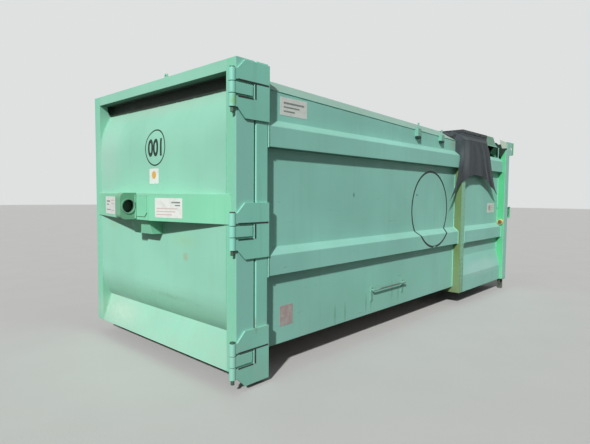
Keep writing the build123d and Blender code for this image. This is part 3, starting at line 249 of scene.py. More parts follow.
def sprayed_paint(name, colour, low=0.0, dust=0.5, runs=0.3, chips_and_edge_highlight=0.5, scratches=0.3, wobble=0.003,
                  cloudy=0.5, extras=()):
    """Sprayed and weathered enamel on welded sheet steel.

    The eye sees a matt, chalky colour in large faint clouds, grey runs below the ledges, dust on
    what faces up and along the foot (low is its height in metres), worn edges with a painted
    highlight, painted shade on what faces down, and a little rust. extras are spots as (colour,
    centre in millimetres, half size, strength, softness); some of them are painted shade or painted sky
    light."""
    paint = settings("paint")
    tree, place = start_material(name)
    dust, runs, chips_and_edge_highlight, scratches = [share * paint.wear for share in (dust, runs, chips_and_edge_highlight, scratches)]
    pale = tuple(min(1, c * (1 + 0.12 * cloudy)) for c in colour)
    deep = tuple(c * (1 - 0.18 * cloudy) for c in colour)
    chalk = tuple(c * 0.9 + 0.09 for c in colour)
    bright = tuple(min(1, c * 1.25 + 0.05) for c in colour)
    painted_underside_shade = tuple(c * 0.16 for c in colour)
    facing = add(tree, SPLIT, (add(tree, "ShaderNodeTexCoord", output="Normal"),), 2)
    height = add(tree, SPLIT, (place,), 2)
    edges = edge_mask(tree)
    broad = clouds(tree, place, 0.9, detail=2)
    patches = clouds(tree, place, 5.5, detail=4, roughness=0.6)
    speckle = clouds(tree, place, 30)
    ragged = clouds(tree, place, 42, detail=4, roughness=0.7)
    rusted = clouds(tree, place, 19, detail=5, roughness=0.72, offset=(9, 4, 2))
    # Runs are vertical, a few centimetres wide and up to a metre long.
    run = clouds(tree, place, 11, (1, 1, 0.07), roughness=0.62)
    pale_run = clouds(tree, place, 16, (1, 1, 0.05), detail=2, offset=(3, 7, 1))
    # Scratches are thin and nearly level, as things pass along the side.
    scratch = clouds(tree, place, 34, (0.07, 0.07, 1), detail=4, roughness=0.7, offset=(1, 2, 5))
    foot = add(tree, MATH, (add(tree, RANGE, (height, low + 0.15, low + 0.75, 0.75, 0)),
                            add(tree, RANGE, (patches, 0.35, 0.65, 0.35, 1))), **TIMES)
    ledges = add(tree, MATH, (add(tree, RANGE, (facing, 0.35, 0.95, 0, 0.85)), foot), **PLUS)
    dusty = add(tree, MATH, (ledges, add(tree, RANGE, (speckle, 0.3, 0.6, 0.5 * dust, dust))), **TIMES)
    scratched = add(tree, MATH, (add(tree, RANGE, (scratch, 0.655, 0.70, 0, 0.55 * scratches)),
                                 add(tree, RANGE, (patches, 0.48, 0.62))), **TIMES)
    worn_and_highlit_edge = add(tree, MATH, (edges, add(tree, RANGE, (ragged, 0.42, 0.60, 0, 0.60 * chips_and_edge_highlight))), **TIMES)
    rust_edge = add(tree, MATH, (edges, add(tree, RANGE, (rusted, 0.57, 0.66, 0, chips_and_edge_highlight))), **TIMES)
    flecks = add(tree, RANGE, (rusted, 0.725, 0.75, 0, chips_and_edge_highlight))
    layers = [
        (add(tree, RANGE, (broad, 0.35, 0.66)), pale),
        (add(tree, RANGE, (patches, 0.50, 0.72, 0, 0.35 * cloudy * paint.wear)), chalk),
        (add(tree, RANGE, (run, 0.54, 0.78, 0, 0.42 * runs)), paint.grime),
        (add(tree, RANGE, (pale_run, 0.56, 0.76, 0, 0.30 * runs)), chalk),
        (dusty, paint.dust),
        # Painted shade: what faces down is made dark, as if in shadow.
        (add(tree, RANGE, (facing, -0.85, -0.4, 0.85 * paint.wear, 0)), painted_underside_shade),
        (scratched, paint.grime),
        # Painted highlight and wear: the outer edges are lighter.
        (worn_and_highlit_edge, bright),
        (add(tree, MATH, (rust_edge, flecks), **PLUS), paint.rust),
    ]
    for code, centre, size, strength, soft in extras:
        strength *= paint.wear
        mottled = add(tree, RANGE, (speckle, 0.3, 0.62, 0.45 * strength, strength))
        layers.append((add(tree, MATH, (spot(tree, place, at(*centre), size, soft), mottled), **TIMES),
                       linear(code)))
    # The sheet buckles by a few millimetres, and the sprayed coat has an orange peel of 4 mm.
    bump = [(clouds(tree, place, 2.3, detail=2), wobble), (clouds(tree, place, 240, detail=2), 0.0004)]
    end_material(tree, layered(tree, deep, *layers), add(tree, RANGE, (patches, 0.3, 0.7, 0.42, 0.62)), bump,
                 edge=0.004, Specular_IOR_Level=0.35)


def bare_steel(name, colour, rust, rust_share=0.5):
    """Rolled or machined steel without paint: grey, brushed by use, with brown rust in clouds."""
    tree, place = start_material(name)
    grain = clouds(tree, place, 9, detail=5, roughness=0.68)
    brushed = clouds(tree, place, 60, (1, 0.15, 0.15))
    onset = 0.62 - rust_share * 0.35
    tone = layered(tree, tuple(c * 0.75 for c in colour),
                   (add(tree, RANGE, (brushed, 0.3, 0.7)), colour),
                   (add(tree, RANGE, (grain, onset, onset + 0.18)), rust))
    end_material(tree, tone, add(tree, RANGE, (grain, 0.3, 0.7, 0.45, 0.80)),
                 [(grain, 0.0006), (brushed, 0.0002)], edge=0.002, Metallic=0.75)


class COMPACTOR_OT_finishes(bpy.types.Operator):
    """Makes the materials and gives one to every piece of the frame"""

    bl_idname = "compactor.finishes"
    bl_label = "Finishes"

    # The nodes of each material, by what the real piece is made of
    worn_by = {
        "enamel_tailgate": ("tailgate_frame", "tailgate_panel"),
        "enamel_beam": ("crossbeam",),
        "enamel_lug": ("pull_lug",),
        "enamel_side": ("body_side_left", "body_side_right", "press_side_left", "press_side_right"),
        "enamel_fixings": ("stake_pockets", "side_bar"),
        "enamel_roof": ("roof", "press_roof"),
        "enamel_frame": ("rear_post_left", "rear_post_right", "rear_header", "rear_sill",
                         "hinge_arms_upper", "hinge_arms_middle", "hinge_arms_lower", "hinge_lugs",
                         "latch_bar", "latch_keepers", "latch_bearings", "roller_mounts"),
        "enamel_end_frame": ("end_post_left", "end_post_right", "hook_frame", "press_end_wall",
                             "service_door", "service_door_handle"),
        "enamel_step": ("press_bulkhead",),
        "enamel_inside": ("tailgate_lining", "press_chamber", "hopper_funnel"),
        "enamel_charcoal": ("hopper_collar", "skirt_clamp_bars"),
        "underframe_and_shade_paint": ("cross_members", "runner_left", "runner_right", "front_feet"),
        "enamel_grey": ("oil_tank", "pump_motor", "cylinder_barrels", "control_box"),
        "scraped_plate_steel": ("floor_plate", "ram_head", "hook_bar", "roller_axles"),
        "turned_hinge_steel": ("hinge_pins",),
        "rolled_roller_steel": ("rear_roller_left", "rear_roller_right"),
        "chromed_rod": ("cylinder_rods", "cylinder_stages"),
        "black_rubber_and_gap_shade": ("tailgate_seal", "loading_skirt"),
        "moulded_yellow": ("emergency_stop_ring",),
        "moulded_brown": ("emergency_stop_button",),
        "moulded_grey": ("power_inlet", "inlet_flap"),
        "moulded_black": ("main_switch",),
    }

    def execute(self, context):
        self.tailgate_paint()
        self.body_paint()
        # Floor plate, ram face and pins: plate steel scraped bright with rust between.
        bare_steel("scraped_plate_steel", linear("#8b8a86"), linear("#6b4429"))
        bare_steel("turned_hinge_steel", linear("#58776a"), linear("#54452f"), rust_share=0.35)
        bare_steel("rolled_roller_steel", linear("#7c746b"), linear("#5d3b24"), rust_share=0.8)
        self.chrome()
        self.rubber()
        for colour, code, rough in (("yellow", "#dccb84", 0.42), ("brown", "#7a4a22", 0.38),
                                    ("grey", "#5b6865", 0.45), ("black", "#22262a", 0.40),
                                    ("green", "#2f8f56", 0.35), ("amber", "#d98b26", 0.25)):
            self.moulded("moulded_" + colour, linear(code), rough)
        finish_of = {name: finish for finish, names in self.worn_by.items() for name in names}
        for name, node in NODES.items():
            node.data.materials.clear()
            node.data.materials.append(MADE[finish_of[name]])
        return {"FINISHED"}

    def tailgate_paint(self):
        """Sprayed enamel on the tailgate, its beam and its lug, sun-bleached and dusty under the hood."""
        paint = settings("paint")
        sprayed_paint("enamel_tailgate", paint.door, dust=0.45, runs=0.12, chips_and_edge_highlight=0.45, extras=(
            ("#80cfad", (60, 1141, 1300), (0.4, 0.064, 3), 0.8, 0.1),
            ("#80cfad", (60, -1141, 1300), (0.4, 0.064, 3), 0.8, 0.1),
            ("#aad1bf", (60, 880, 1950), (0.3, 0.34, 0.46), 0.95, 0.9),
            ("#abcdb9", (60, 0, 2370), (0.2, 1.3, 0.11), 0.85, 0.8),
            # The recess under the hood is painted dark: painted shadow under the top rail, and dirt.
            ("#2b362e", (160, 0, 2480), (0.085, 3, 0.128), 2.0, 0.15),
            ("#b9dcc6", (60, 740, 300), (0.3, 0.56, 0.20), 1.1, 0.8),
            # Painted shade: a darker green band where the sheet rolls in above the kick plate.
            ("#7fcca2", (60, 0, 540), (0.3, 1.3, 0.15), 0.5, 0.9),
            # Painted sky light: the tailgate's side face takes the sides' bluer paint.
            ("#93d5c3", (60, -1203, 1300), (0.4, 0.008, 3), 1.6, 0.15),
            ("#9dc9a0", (0, -500, 1150), (0.1, 0.26, 0.09), 0.5, 0.9),
            ("#9dc9a0", (0, 800, 1230), (0.1, 0.14, 0.07), 0.6, 0.9),
            ("#b49a6d", (0, -520, 1010), (0.1, 0.05, 0.05), 0.7, 0.9),
            ("#6f9f80", (0, -260, 620), (0.1, 0.42, 0.035), 0.35, 0.9)))
        sprayed_paint("enamel_beam", linear("#89d8b2"), dust=0.35, runs=0.2, chips_and_edge_highlight=0.6, extras=(
            ("#8cc2a8", (-196, 0, 1548), (0.3, 1.1, 0.03), 0.7, 0.8),))
        sprayed_paint("enamel_lug", paint.lug, low=0.9, dust=0.3, chips_and_edge_highlight=0.9, extras=(
            # Painted shade inside the lug's bore.
            ("#1d4229", (-272.5, 0, 1439.5), (0.0655, 0.075, 0.0655), 2.0, 0.1),))

    def body_paint(self):
        """Sprayed enamel on the body, the press, their frames and what lies under and inside them."""
        paint = settings("paint")
        # The side has narrow runs near its foot, two scuffs and a few paler fields.
        marks = [("#5f9b7c", (x, -1130, z), (0.022, 0.05, 0.13), 0.7, 0.9)
                 for x, z in ((2406, 448), (2544, 403), (1970, 402), (1874, 385), (1496, 356), (1330, 356))]
        marks += [("#34564b", (1622, -1130, 1551), (0.022, 0.05, 0.03), 0.8, 0.7),
                  ("#34564b", (2953, -1130, 1555), (0.03, 0.05, 0.018), 0.7, 0.7),
                  ("#b5b5a2", (3960, -1130, 2260), (0.15, 0.05, 0.14), 0.6, 0.9),
                  ("#b4e2d6", (4900, -1200, 450), (0.85, 0.12, 0.15), 0.9, 0.5),
                  ("#8fe2bf", (2200, 0, 480), (2.3, 1.5, 0.5), 0.55, 0.6),
                  ("#8bcbba", (2200, 0, 2300), (2.4, 1.5, 0.17), 0.8, 0.4)]
        sprayed_paint("enamel_side", paint.side, low=0.15, dust=0.15, runs=0.18, chips_and_edge_highlight=0.35,
                      scratches=0.7, wobble=0.004, cloudy=0.45, extras=marks)
        # The pockets, with painted shade at their open feet, and the bar, worn through along its length, are
        # duller.
        sprayed_paint("enamel_fixings", linear("#7fb8a6"), dust=0.2, chips_and_edge_highlight=0.9, extras=[
            ("#14382c", (x, side * 1151, 2252), (0.08, 0.06, 0.024), 2.0, 0.3)
            for x in (2910, 3547) for side in (-1, 1)] + [
            ("#6d7a70", (2298, -1165, 500), (0.30, 0.03, 0.05), 1.6, 0.2)])
        sprayed_paint("enamel_roof", linear("#86c0b0"), dust=0.7, runs=0.4, chips_and_edge_highlight=0.3, extras=(
            ("#b3c3b0", (5699, -1205, 2400), (0.02, 0.14, 0.14), 1.6, 0.3),
            ("#b9c4b8", (3900, -1100, 2390), (0.25, 0.08, 0.08), 0.8, 0.8),
            ("#82b195", (5250, -1164, 2430), (0.22, 0.06, 0.12), 1.3, 0.3)))
        sprayed_paint("enamel_frame", paint.frame, dust=0.35, runs=0.4, chips_and_edge_highlight=0.6, extras=(
            ("#86c486", (-30, -1200, 2252), (0.032, 0.05, 0.052), 0.9, 0.3),
            ("#8a6a45", (195, -1200, 500), (0.02, 0.03, 0.10), 0.7, 0.8)))
        # The outer faces of the end frame and the step take the sides' bluer paint: painted sky light, as on
        # the side.
        sprayed_paint("enamel_end_frame", paint.end, dust=0.1, extras=(
            # Painted shade: a dark patch for the shaded gap behind the hood, beside the collar.
            ("#1b4430", (5790, -1120, 2380), (0.03, 0.26, 0.2), 1.6, 0.3),
            ("#9cc9b6", (5700, 0, 250), (0.3, 1.5, 0.35), 0.9, 0.5),
            ("#a0dccb", (5700, -1278, 1300), (0.3, 0.008, 3), 1.3, 0.15),
            ("#a0dccb", (5700, 1278, 1300), (0.3, 0.008, 3), 1.3, 0.15)))
        sprayed_paint("enamel_step", paint.step, dust=0.2, runs=0.5, extras=(
            ("#7d9776", (4038, 0, 300), (0.03, 1.6, 0.7), 0.8, 0.8),
            ("#93d0b0", (4098, -1245, 1300), (0.2, 0.013, 3), 1.4, 0.15),
            ("#93d0b0", (4098, 1245, 1300), (0.2, 0.013, 3), 1.4, 0.15)))
        sprayed_paint("enamel_inside", linear("#61a582"), dust=0.7, runs=0.8, chips_and_edge_highlight=0.9, scratches=1.0)
        # The underframe's near-black green is partly painted shade under the body, and it also colours the
        # dark disc and plates that stand for shade.
        sprayed_paint("underframe_and_shade_paint", linear("#25382f"), runs=0.6, chips_and_edge_highlight=1.0)
        sprayed_paint("enamel_charcoal", linear("#3c4346"), dust=0.35, chips_and_edge_highlight=0.8)
        sprayed_paint("enamel_grey", linear("#7f8987"), low=0.9, dust=0.7, runs=0.7)

    def chrome(self):
        """Hard chrome on the cylinder rods: bright, with faint rings and an oil film."""
        tree, place = start_material("chromed_rod")
        rings = clouds(tree, place, 90, (1, 0.02, 0.02), detail=2)
        film = add(tree, RANGE, (clouds(tree, place, 12), 0.45, 0.7))
        end_material(tree, layered(tree, linear("#d7d9dc"), (film, linear("#a59a86"))),
                     add(tree, RANGE, (rings, 0.3, 0.7, 0.08, 0.22)), [(rings, 0.00005)], Metallic=1.0)

    def rubber(self):
        """Extruded sealing rubber: matt black, greyed and dusty where it has aged."""
        tree, place = start_material("black_rubber_and_gap_shade")
        bloom = add(tree, RANGE, (clouds(tree, place, 14, detail=4, roughness=0.65), 0.4, 0.7))
        end_material(tree, layered(tree, linear("#1d1f20"), (bloom, linear("#45474a"))), 0.78,
                     [(clouds(tree, place, 300, detail=1), 0.0003)], edge=0.002)

    def moulded(self, name, colour, rough):
        """Injection moulded plastic: even colour, fine grain and some yard dust."""
        tree, place = start_material(name)
        dust = clouds(tree, place, 25, detail=4)
        film = add(tree, RANGE, (dust, 0.5, 0.75, 0, 0.35))
        end_material(tree, layered(tree, colour, (film, linear("#a8a596"))),
                     add(tree, RANGE, (dust, 0.3, 0.7, rough, rough + 0.2)),
                     [(clouds(tree, place, 700, detail=1), 0.0002)], edge=0.0012)


# Meshes
def finished(bm, name, body, finish, bevel=0.0, smooth=True):
    """Turns a bmesh into a piece that rides on a body, with its normals outwards."""
    bmesh.ops.remove_doubles(bm, verts=bm.verts, dist=0.00002)
    bmesh.ops.recalc_face_normals(bm, faces=bm.faces)
    mesh = bpy.data.meshes.new(name)
    bm.to_mesh(mesh)
    bm.free()
    piece = bpy.data.objects.new(name, mesh)
    bpy.context.scene.collection.objects.link(piece)
    mesh.materials.append(MADE[finish])
    if smooth:
        mesh.shade_smooth()
        mesh.set_sharp_from_angle(angle=math.radians(35))
    if bevel:
        modifier = piece.modifiers.new("Edges", "BEVEL")
        modifier.width = bevel
        modifier.segments = 2
        modifier.limit_method = "ANGLE"
    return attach(piece, body)


def stand(normal):
    """Matrix that turns a flat shape drawn in XY, so that it faces along the normal with its Y up."""
    normal = normal.normalized()
    up = ONWARD if abs(normal.z) > 0.99 else UP
    right = up.cross(normal).normalized()
    rise = normal.cross(right)
    return Matrix((right, rise, normal)).transposed().to_4x4()


def press_onto(bm, node, along, lift):
    """Moves each vertex along a direction until it lies on a node, then lifts it off a little."""
    mesh = NODES[node].data
    surface = BVHTree.FromPolygons([v.co for v in mesh.vertices], [p.vertices for p in mesh.polygons])
    for vertex in bm.verts:
        hit = surface.ray_cast(vertex.co - along * 0.5, along, 1.0)
        if hit[0] is None:
            raise ValueError("a mark lies beside the surface that carries it")
        vertex.co = hit[0] - along * lift


def placed(bm, centre, normal):
    """Stands a flat shape drawn in XY at its place, with its face along the normal."""
    bmesh.ops.transform(bm, matrix=Matrix.Translation(centre) @ stand(normal), verts=bm.verts)


def ring_of(width, height, line, segments=96):
    """A flat oval ring in XY whose line lies inside its outer size."""
    bm = bmesh.new()
    bmesh.ops.create_circle(bm, cap_ends=True, segments=segments, radius=0.5)
    bmesh.ops.scale(bm, vec=(width, height, 1), verts=bm.verts)
    bmesh.ops.inset_region(bm, faces=bm.faces[:], thickness=line, use_even_offset=True,
                           use_boundary=True)
    middle = [f for f in bm.faces if len(f.verts) > 4]
    bmesh.ops.delete(bm, geom=middle, context="FACES_ONLY")
    return bm


def number_of(text, width, height):
    """Digits as a flat mesh in XY, scaled to a width and height round their middle."""
    curve = bpy.data.curves.new("number", "FONT")
    curve.body = text
    curve.resolution_u = 6
    # The strokes are thickened to the breadth of the painted digits.
    curve.offset = 0.034
    holder = bpy.data.objects.new("number", curve)
    bpy.context.scene.collection.objects.link(holder)
    bpy.context.view_layer.update()
    mesh = bpy.data.meshes.new_from_object(holder)
    bm = bmesh.new()
    bm.from_mesh(mesh)
    bpy.data.objects.remove(holder)
    bpy.data.meshes.remove(mesh)
    low = Vector((min(v.co.x for v in bm.verts), min(v.co.y for v in bm.verts), 0))
    high = Vector((max(v.co.x for v in bm.verts), max(v.co.y for v in bm.verts), 0))
    bmesh.ops.translate(bm, vec=-(low + high) / 2, verts=bm.verts)
    bmesh.ops.scale(bm, vec=(width / (high.x - low.x), height / (high.y - low.y), 1), verts=bm.verts)
    bmesh.ops.remove_doubles(bm, verts=bm.verts, dist=0.0001)
    return bm


def tube(bm, points, radius, sides=8):
    """Adds a round tube along some points, with one radius or a list of them."""
    rings = []
    angles = [2 * math.pi * k / sides for k in range(sides)]
    for i, point in enumerate(points):
        way = points[min(i + 1, len(points) - 1)] - points[max(i - 1, 0)]
        turn = way.to_track_quat("Z", "Y").to_matrix()
        size = radius[i] if isinstance(radius, list) else radius
        rings.append([bm.verts.new(point + turn @ Vector((math.cos(angle), math.sin(angle), 0)) * size)
                      for angle in angles])
    for first, second in zip(rings, rings[1:]):
        for k in range(sides):
            bm.faces.new((first[k], first[(k + 1) % sides], second[(k + 1) % sides], second[k]))
    bm.faces.new(rings[0])
    bm.faces.new(rings[-1])


def ramp(value, start, length):
    """A share that grows from nothing at a start to one after a length."""
    return min(max((value - start) / length, 0), 1)


def neighbours(points, i):
    """The two points of a run and the ones before and after them."""
    return points[max(i - 1, 0)], points[i], points[i + 1], points[min(i + 2, len(points) - 1)]


def between(a, b, c, d, t):
    """The value at a share of the smooth line from b to c, which comes from a and goes on to d."""
    return 0.5 * (2 * b + (c - a) * t + (2 * a - 5 * b + 4 * c - d) * t * t
                  + (3 * b - a - 3 * c + d) * t ** 3)


def eased(points, steps):
    """Points of a smooth line through some points."""
    return [between(*neighbours(points, i), k / steps)
            for i in range(len(points) - 1) for k in range(steps)] + [points[-1]]


def bead(bm, points, radius=0.0045):
    """Adds a weld bead along straight runs between some points, with a ripple every 13 mm."""
    for start, end in zip(points, points[1:]):
        count = max(2, int((end - start).length / 0.013))
        line = [start.lerp(end, i / count) for i in range(count + 1)]
        sizes = [radius * (1 + 0.16 * math.sin(i * 2.4) + 0.10 * math.sin(i * 0.37))
                 for i in range(count + 1)]
        tube(bm, line, sizes, sides=6)


def cone(bm, centre, normal, sides, foot, head, depth, rise=0.0):
    """Adds a closed cone with its axis along the normal and its middle raised over the centre."""
    turn = Matrix.Translation(centre) @ stand(normal) @ Matrix.Translation((0, 0, rise))
    bmesh.ops.create_cone(bm, cap_ends=True, segments=sides, radius1=foot, radius2=head, depth=depth,
                          matrix=turn)


def bolt(bm, centre, normal, radius=0.010, height=0.009):
    """Adds a hexagon head on its washer."""
    washer = height * 0.25
    for sides, size, low, high in ((20, radius * 1.4, 0, washer), (6, radius, washer, height)):
        cone(bm, centre, normal, sides, size, size * 0.95, high - low, (low + high) / 2)


def slab(bm, low, high):
    """Adds a straight block between two corners."""
    size = Vector([abs(b - a) for a, b in zip(low, high)])
    bmesh.ops.create_cube(bm, size=1, matrix=Matrix.Translation((low + high) / 2)
                          @ Matrix.Diagonal((*size, 1)))


def pushed(bm, corners, way):
    """Adds a plate: a flat outline pushed along a way."""
    face = bm.faces.new([bm.verts.new(corner) for corner in corners])
    made = bmesh.ops.extrude_face_region(bm, geom=[face])
    moved = [item for item in made["geom"] if isinstance(item, bmesh.types.BMVert)]
    bmesh.ops.translate(bm, vec=way, verts=moved)


class COMPACTOR_OT_marks(bpy.types.Operator):
    """Paints the ring and number on the tailgate and the large ring on the left side"""

    bl_idname = "compactor.marks"
    bl_label = "Painted marks"

    def execute(self, context):
        marks = settings("marks")
        # Brushed marking paint: dark green, thin enough that the sheet below shows at its faded parts.
        tree, place = start_material("stencilled_paint")
        fade = clouds(tree, place, 45, detail=5, roughness=0.7)
        thin = add(tree, RANGE, (fade, 0.58, 0.74, 0, 0.3))
        end_material(tree, layered(tree, settings("paint").mark, (thin, linear("#5d8f7b"))), 0.55,
                     [(fade, 0.0002)])
        for name, y, bm in (
            ("tailgate_ring", -38, ring_of(marks.ring_width, marks.ring_height, marks.line)),
            ("tailgate_number", -34, number_of(marks.number, marks.number_width, marks.digit_height)),
        ):
            placed(bm, at(0, y, 1976), OUT)
            # The sheet is rolled inwards at the marks' upper half, so they are cut to bend with it.
            self.cut(bm, range(ROLLS[0][0], 2160, 15))
            press_onto(bm, "tailgate_panel", ONWARD, marks.film)
            piece = finished(bm, name, "tailgate", "stencilled_paint", smooth=False)
        bm = ring_of(marks.side_ring, marks.side_ring, marks.side_line, 128)
        placed(bm, at(3314, -BODY_SIDE, 1373), LEFT)
        # The ring is cut where the lower rib's folds run, so that it bends with the sheet.
        self.cut(bm, (1040, 1044, 1048, 1052, 1100, 1104, 1108, 1112))
        press_onto(bm, "body_side_left", -LEFT, marks.film)
        finished(bm, "side_ring", "container", "stencilled_paint", smooth=False)
        return {"FINISHED"}

    def cut(self, bm, heights):
        """Cuts a standing shape at some heights, in millimetres."""
        for height in heights:
            bmesh.ops.bisect_plane(bm, geom=bm.verts[:] + bm.edges[:] + bm.faces[:], dist=0.00001,
                                   plane_co=at(0, 0, height), plane_no=UP)


class COMPACTOR_OT_plates(bpy.types.Operator):
    """Puts the enamelled plates on the tailgate, the beam and the left side, with plain shapes only"""

    bl_idname = "compactor.plates"
    bl_label = "Plates"

    def execute(self, context):
        plates = settings("plates")
        self.enamel("plate_enamel", tuple(plates.white), 0.5)
        self.enamel("plate_faded", linear("#b6a3a0"), 0.9)
        self.enamel("print_grey", tuple(plates.print_grey), 0.4)
        self.enamel("print_pink", linear("#d3bfb9"), 0.5)
        self.enamel("print_amber", tuple(plates.amber), 0.3)
        self.plate("tailgate_small_plate", "tailgate", at(0, -19, 1713), OUT, 0.160, 0.140)
        self.disc("tailgate_small_mark", "tailgate", at(0, -19, 1724), OUT, "print_amber", 0.036)
        # The beam's two halves slope back from the middle, and each carries a plate.
        left_half = at(-145, -490.8, 1430.5), Vector((-886, -196, 0)).normalized()
        self.plate("beam_plate_left", "tailgate", *left_half, 0.317, 0.167)
        self.bars("beam_plate_left_print", "tailgate", *left_half, "print_grey",
                  ((0.085, 0.048, 0.10, 0.013), (0.105, 0.024, 0.06, 0.010)))
        self.bars("beam_plate_left_lines", "tailgate", *left_half, "print_pink",
                  ((-0.02, -0.004, 0.24, 0.009), (-0.03, -0.030, 0.22, 0.009), (-0.05, -0.056, 0.18, 0.009)))
        right_half = at(-117, 618, 1431), Vector((-886, 196, 0)).normalized()
        self.plate("beam_plate_right", "tailgate", *right_half, 0.406, 0.175)
        self.bars("beam_plate_right_print", "tailgate", *right_half, "print_grey",
                  ((-0.09, 0.040, 0.14, 0.016), (-0.11, 0.008, 0.10, 0.012), (-0.08, -0.045, 0.16, 0.010)))
        self.bars("beam_plate_right_lines", "tailgate", *right_half, "print_pink",
                  ((0.09, 0.050, 0.14, 0.010), (0.09, 0.020, 0.14, 0.010), (0.08, -0.050, 0.12, 0.010)))
        upper = at(710, -BODY_SIDE, 2303), LEFT
        self.plate("side_upper_plate", "container", *upper, 0.343, 0.152)
        self.bars("side_upper_print", "container", *upper, "print_grey",
                  ((0, 0.030, 0.26, 0.016), (-0.03, -0.005, 0.20, 0.012), (-0.06, -0.040, 0.14, 0.012)))
        self.plate("side_faded_plate", "container", at(628, -BODY_SIDE, 493), LEFT, 0.164, 0.180,
                   "plate_faded")
        press = at(5339, -PRESS_SIDE, 1358), LEFT
        self.plate("press_plate", "container", *press, 0.290, 0.152)
        self.disc("press_plate_print", "container", at(5279, -PRESS_SIDE, 1358), LEFT, "plate_faded", 0.045)
        self.bars("press_plate_lines", "container", *press, "print_pink",
                  ((0.05, 0.035, 0.15, 0.012), (0.05, 0, 0.15, 0.012), (0.03, -0.035, 0.11, 0.012)))
        return {"FINISHED"}

    def enamel(self, name, colour, fade):
        """Printed enamel on thin sheet: smooth, with washed-out patches and dirty rims."""
        tree, place = start_material(name)
        wash = clouds(tree, place, 22, detail=4)
        washed = add(tree, RANGE, (wash, 0.45, 0.75, 0, fade))
        end_material(tree, layered(tree, colour, (washed, linear("#c3c7bd"))),
                     add(tree, RANGE, (wash, 0.3, 0.7, 0.3, 0.5)), edge=0.001)

    def plate(self, name, body, centre, normal, width, height, finish="plate_enamel"):
        """One plate with rounded corners that lies flat on what carries it."""
        bm = bmesh.new()
        bmesh.ops.create_grid(bm, x_segments=1, y_segments=1, size=0.5)
        bmesh.ops.scale(bm, vec=(width, height, 1), verts=bm.verts)
        bmesh.ops.bevel(bm, geom=bm.verts[:], offset=settings("plates").corner, offset_type="OFFSET",
                        segments=5, profile=0.5, affect="VERTICES", material=-1)
        self.laid(bm, name, body, centre, normal, finish, 1, 0.9)

    def bars(self, name, body, centre, normal, finish, bars):
        """Level bars printed on a plate, each as its place across and up, its length and its height."""
        bm = bmesh.new()
        for across, rise, length, height in bars:
            made = bmesh.ops.create_grid(bm, x_segments=1, y_segments=1, size=0.5)
            bmesh.ops.scale(bm, vec=(length, height, 1), verts=made["verts"])
            bmesh.ops.translate(bm, vec=(across, rise, 0), verts=made["verts"])
        self.laid(bm, name, body, centre, normal, finish, 1.3, 0.2)

    def disc(self, name, body, centre, normal, finish, radius):
        """A plain disc printed on a plate."""
        bm = bmesh.new()
        bmesh.ops.create_circle(bm, cap_ends=True, segments=24, radius=radius)
        self.laid(bm, name, body, centre, normal, finish, 1.3, 0.2)

    def laid(self, bm, name, body, centre, normal, finish, lift, share):
        """Lays a flat shape over its place. Lift and thickness are shares of a plate's thickness."""
        thickness = settings("plates").thickness
        placed(bm, centre + normal * thickness * lift, normal)
        bmesh.ops.solidify(bm, geom=bm.faces[:], thickness=thickness * share)
        finished(bm, name, body, finish, smooth=False)


class COMPACTOR_OT_welds(bpy.types.Operator):
    """Runs the weld beads along the seams of the tailgate, the sides and the press section"""

    bl_idname = "compactor.welds"
    bl_label = "Weld beads"

    # Section of a side, as heights with True where the rib's crest stands out.
    ribs = ((874, False), (874, True), (1048, True), (1108, False), (1935, False), (1935, True),
            (2109, True), (2169, False))

    def execute(self, context):
        self.tailgate()
        self.sides()
        return {"FINISHED"}

    def tailgate(self):
        """Seams between the tailgate's sheet, posts, rails, beam and lug."""
        bm = bmesh.new()
        # The beads follow the rolled sheet in steps of about 40 mm.
        for y in (-1081.5, 1081.5):
            inner = y - math.copysign(3, y)
            heights = [*range(2391, 1970, -42), 1970, *range(735, 431, -38), 431]
            bead(bm, [at(131, inner, 2490)] + [at(self.depth(z) - 2, inner, z) for z in heights]
                 + [at(-1, inner, 152)])
            bead(bm, [at(0, y, 2494), at(0, y, 2582)], 0.003)
        for z in (1315, 1551):
            bead(bm, [at(-1, -1138, z), at(-1, 1138, z)])
        for y in (-47, 47):
            bead(bm, [at(-206, y, 1330), at(-206, y, 1540)], 0.006)
        finished(bm, "tailgate_welds", "tailgate", "enamel_tailgate")

    def depth(self, z):
        """How far the rolled sheet lies behind the tailgate's face at a height, in millimetres."""
        for flush, way, reach, radius in ROLLS:
            over = (z - flush) * way
            if 0 < over <= reach:
                return radius - math.sqrt(radius ** 2 - over ** 2)
        return 0.0

    def sides(self):
        """Seams of both sides where they meet the rear posts, the step, the roof and the end frame."""
        bm = bmesh.new()
        for side in (-1, 1):
            for x, root, crest, low, high in ((338, 1133, 1203, 262, 2418), (4035, 1133, 1203, 262, 2314),
                                              (4161, 1167, 1237, 690, 2336), (5632, 1167, 1237, 690, 2108)):
                section = [(root, low)]
                section += [(crest if out else root, z) for z, out in self.ribs if low < z < high]
                section.append((root, high))
                bead(bm, [at(x, side * y, z) for y, z in section])
            bead(bm, [at(338, side * 1131, 2420), at(4036, side * 1131, 2317)], 0.005)
        finished(bm, "side_welds", "container", "enamel_side")


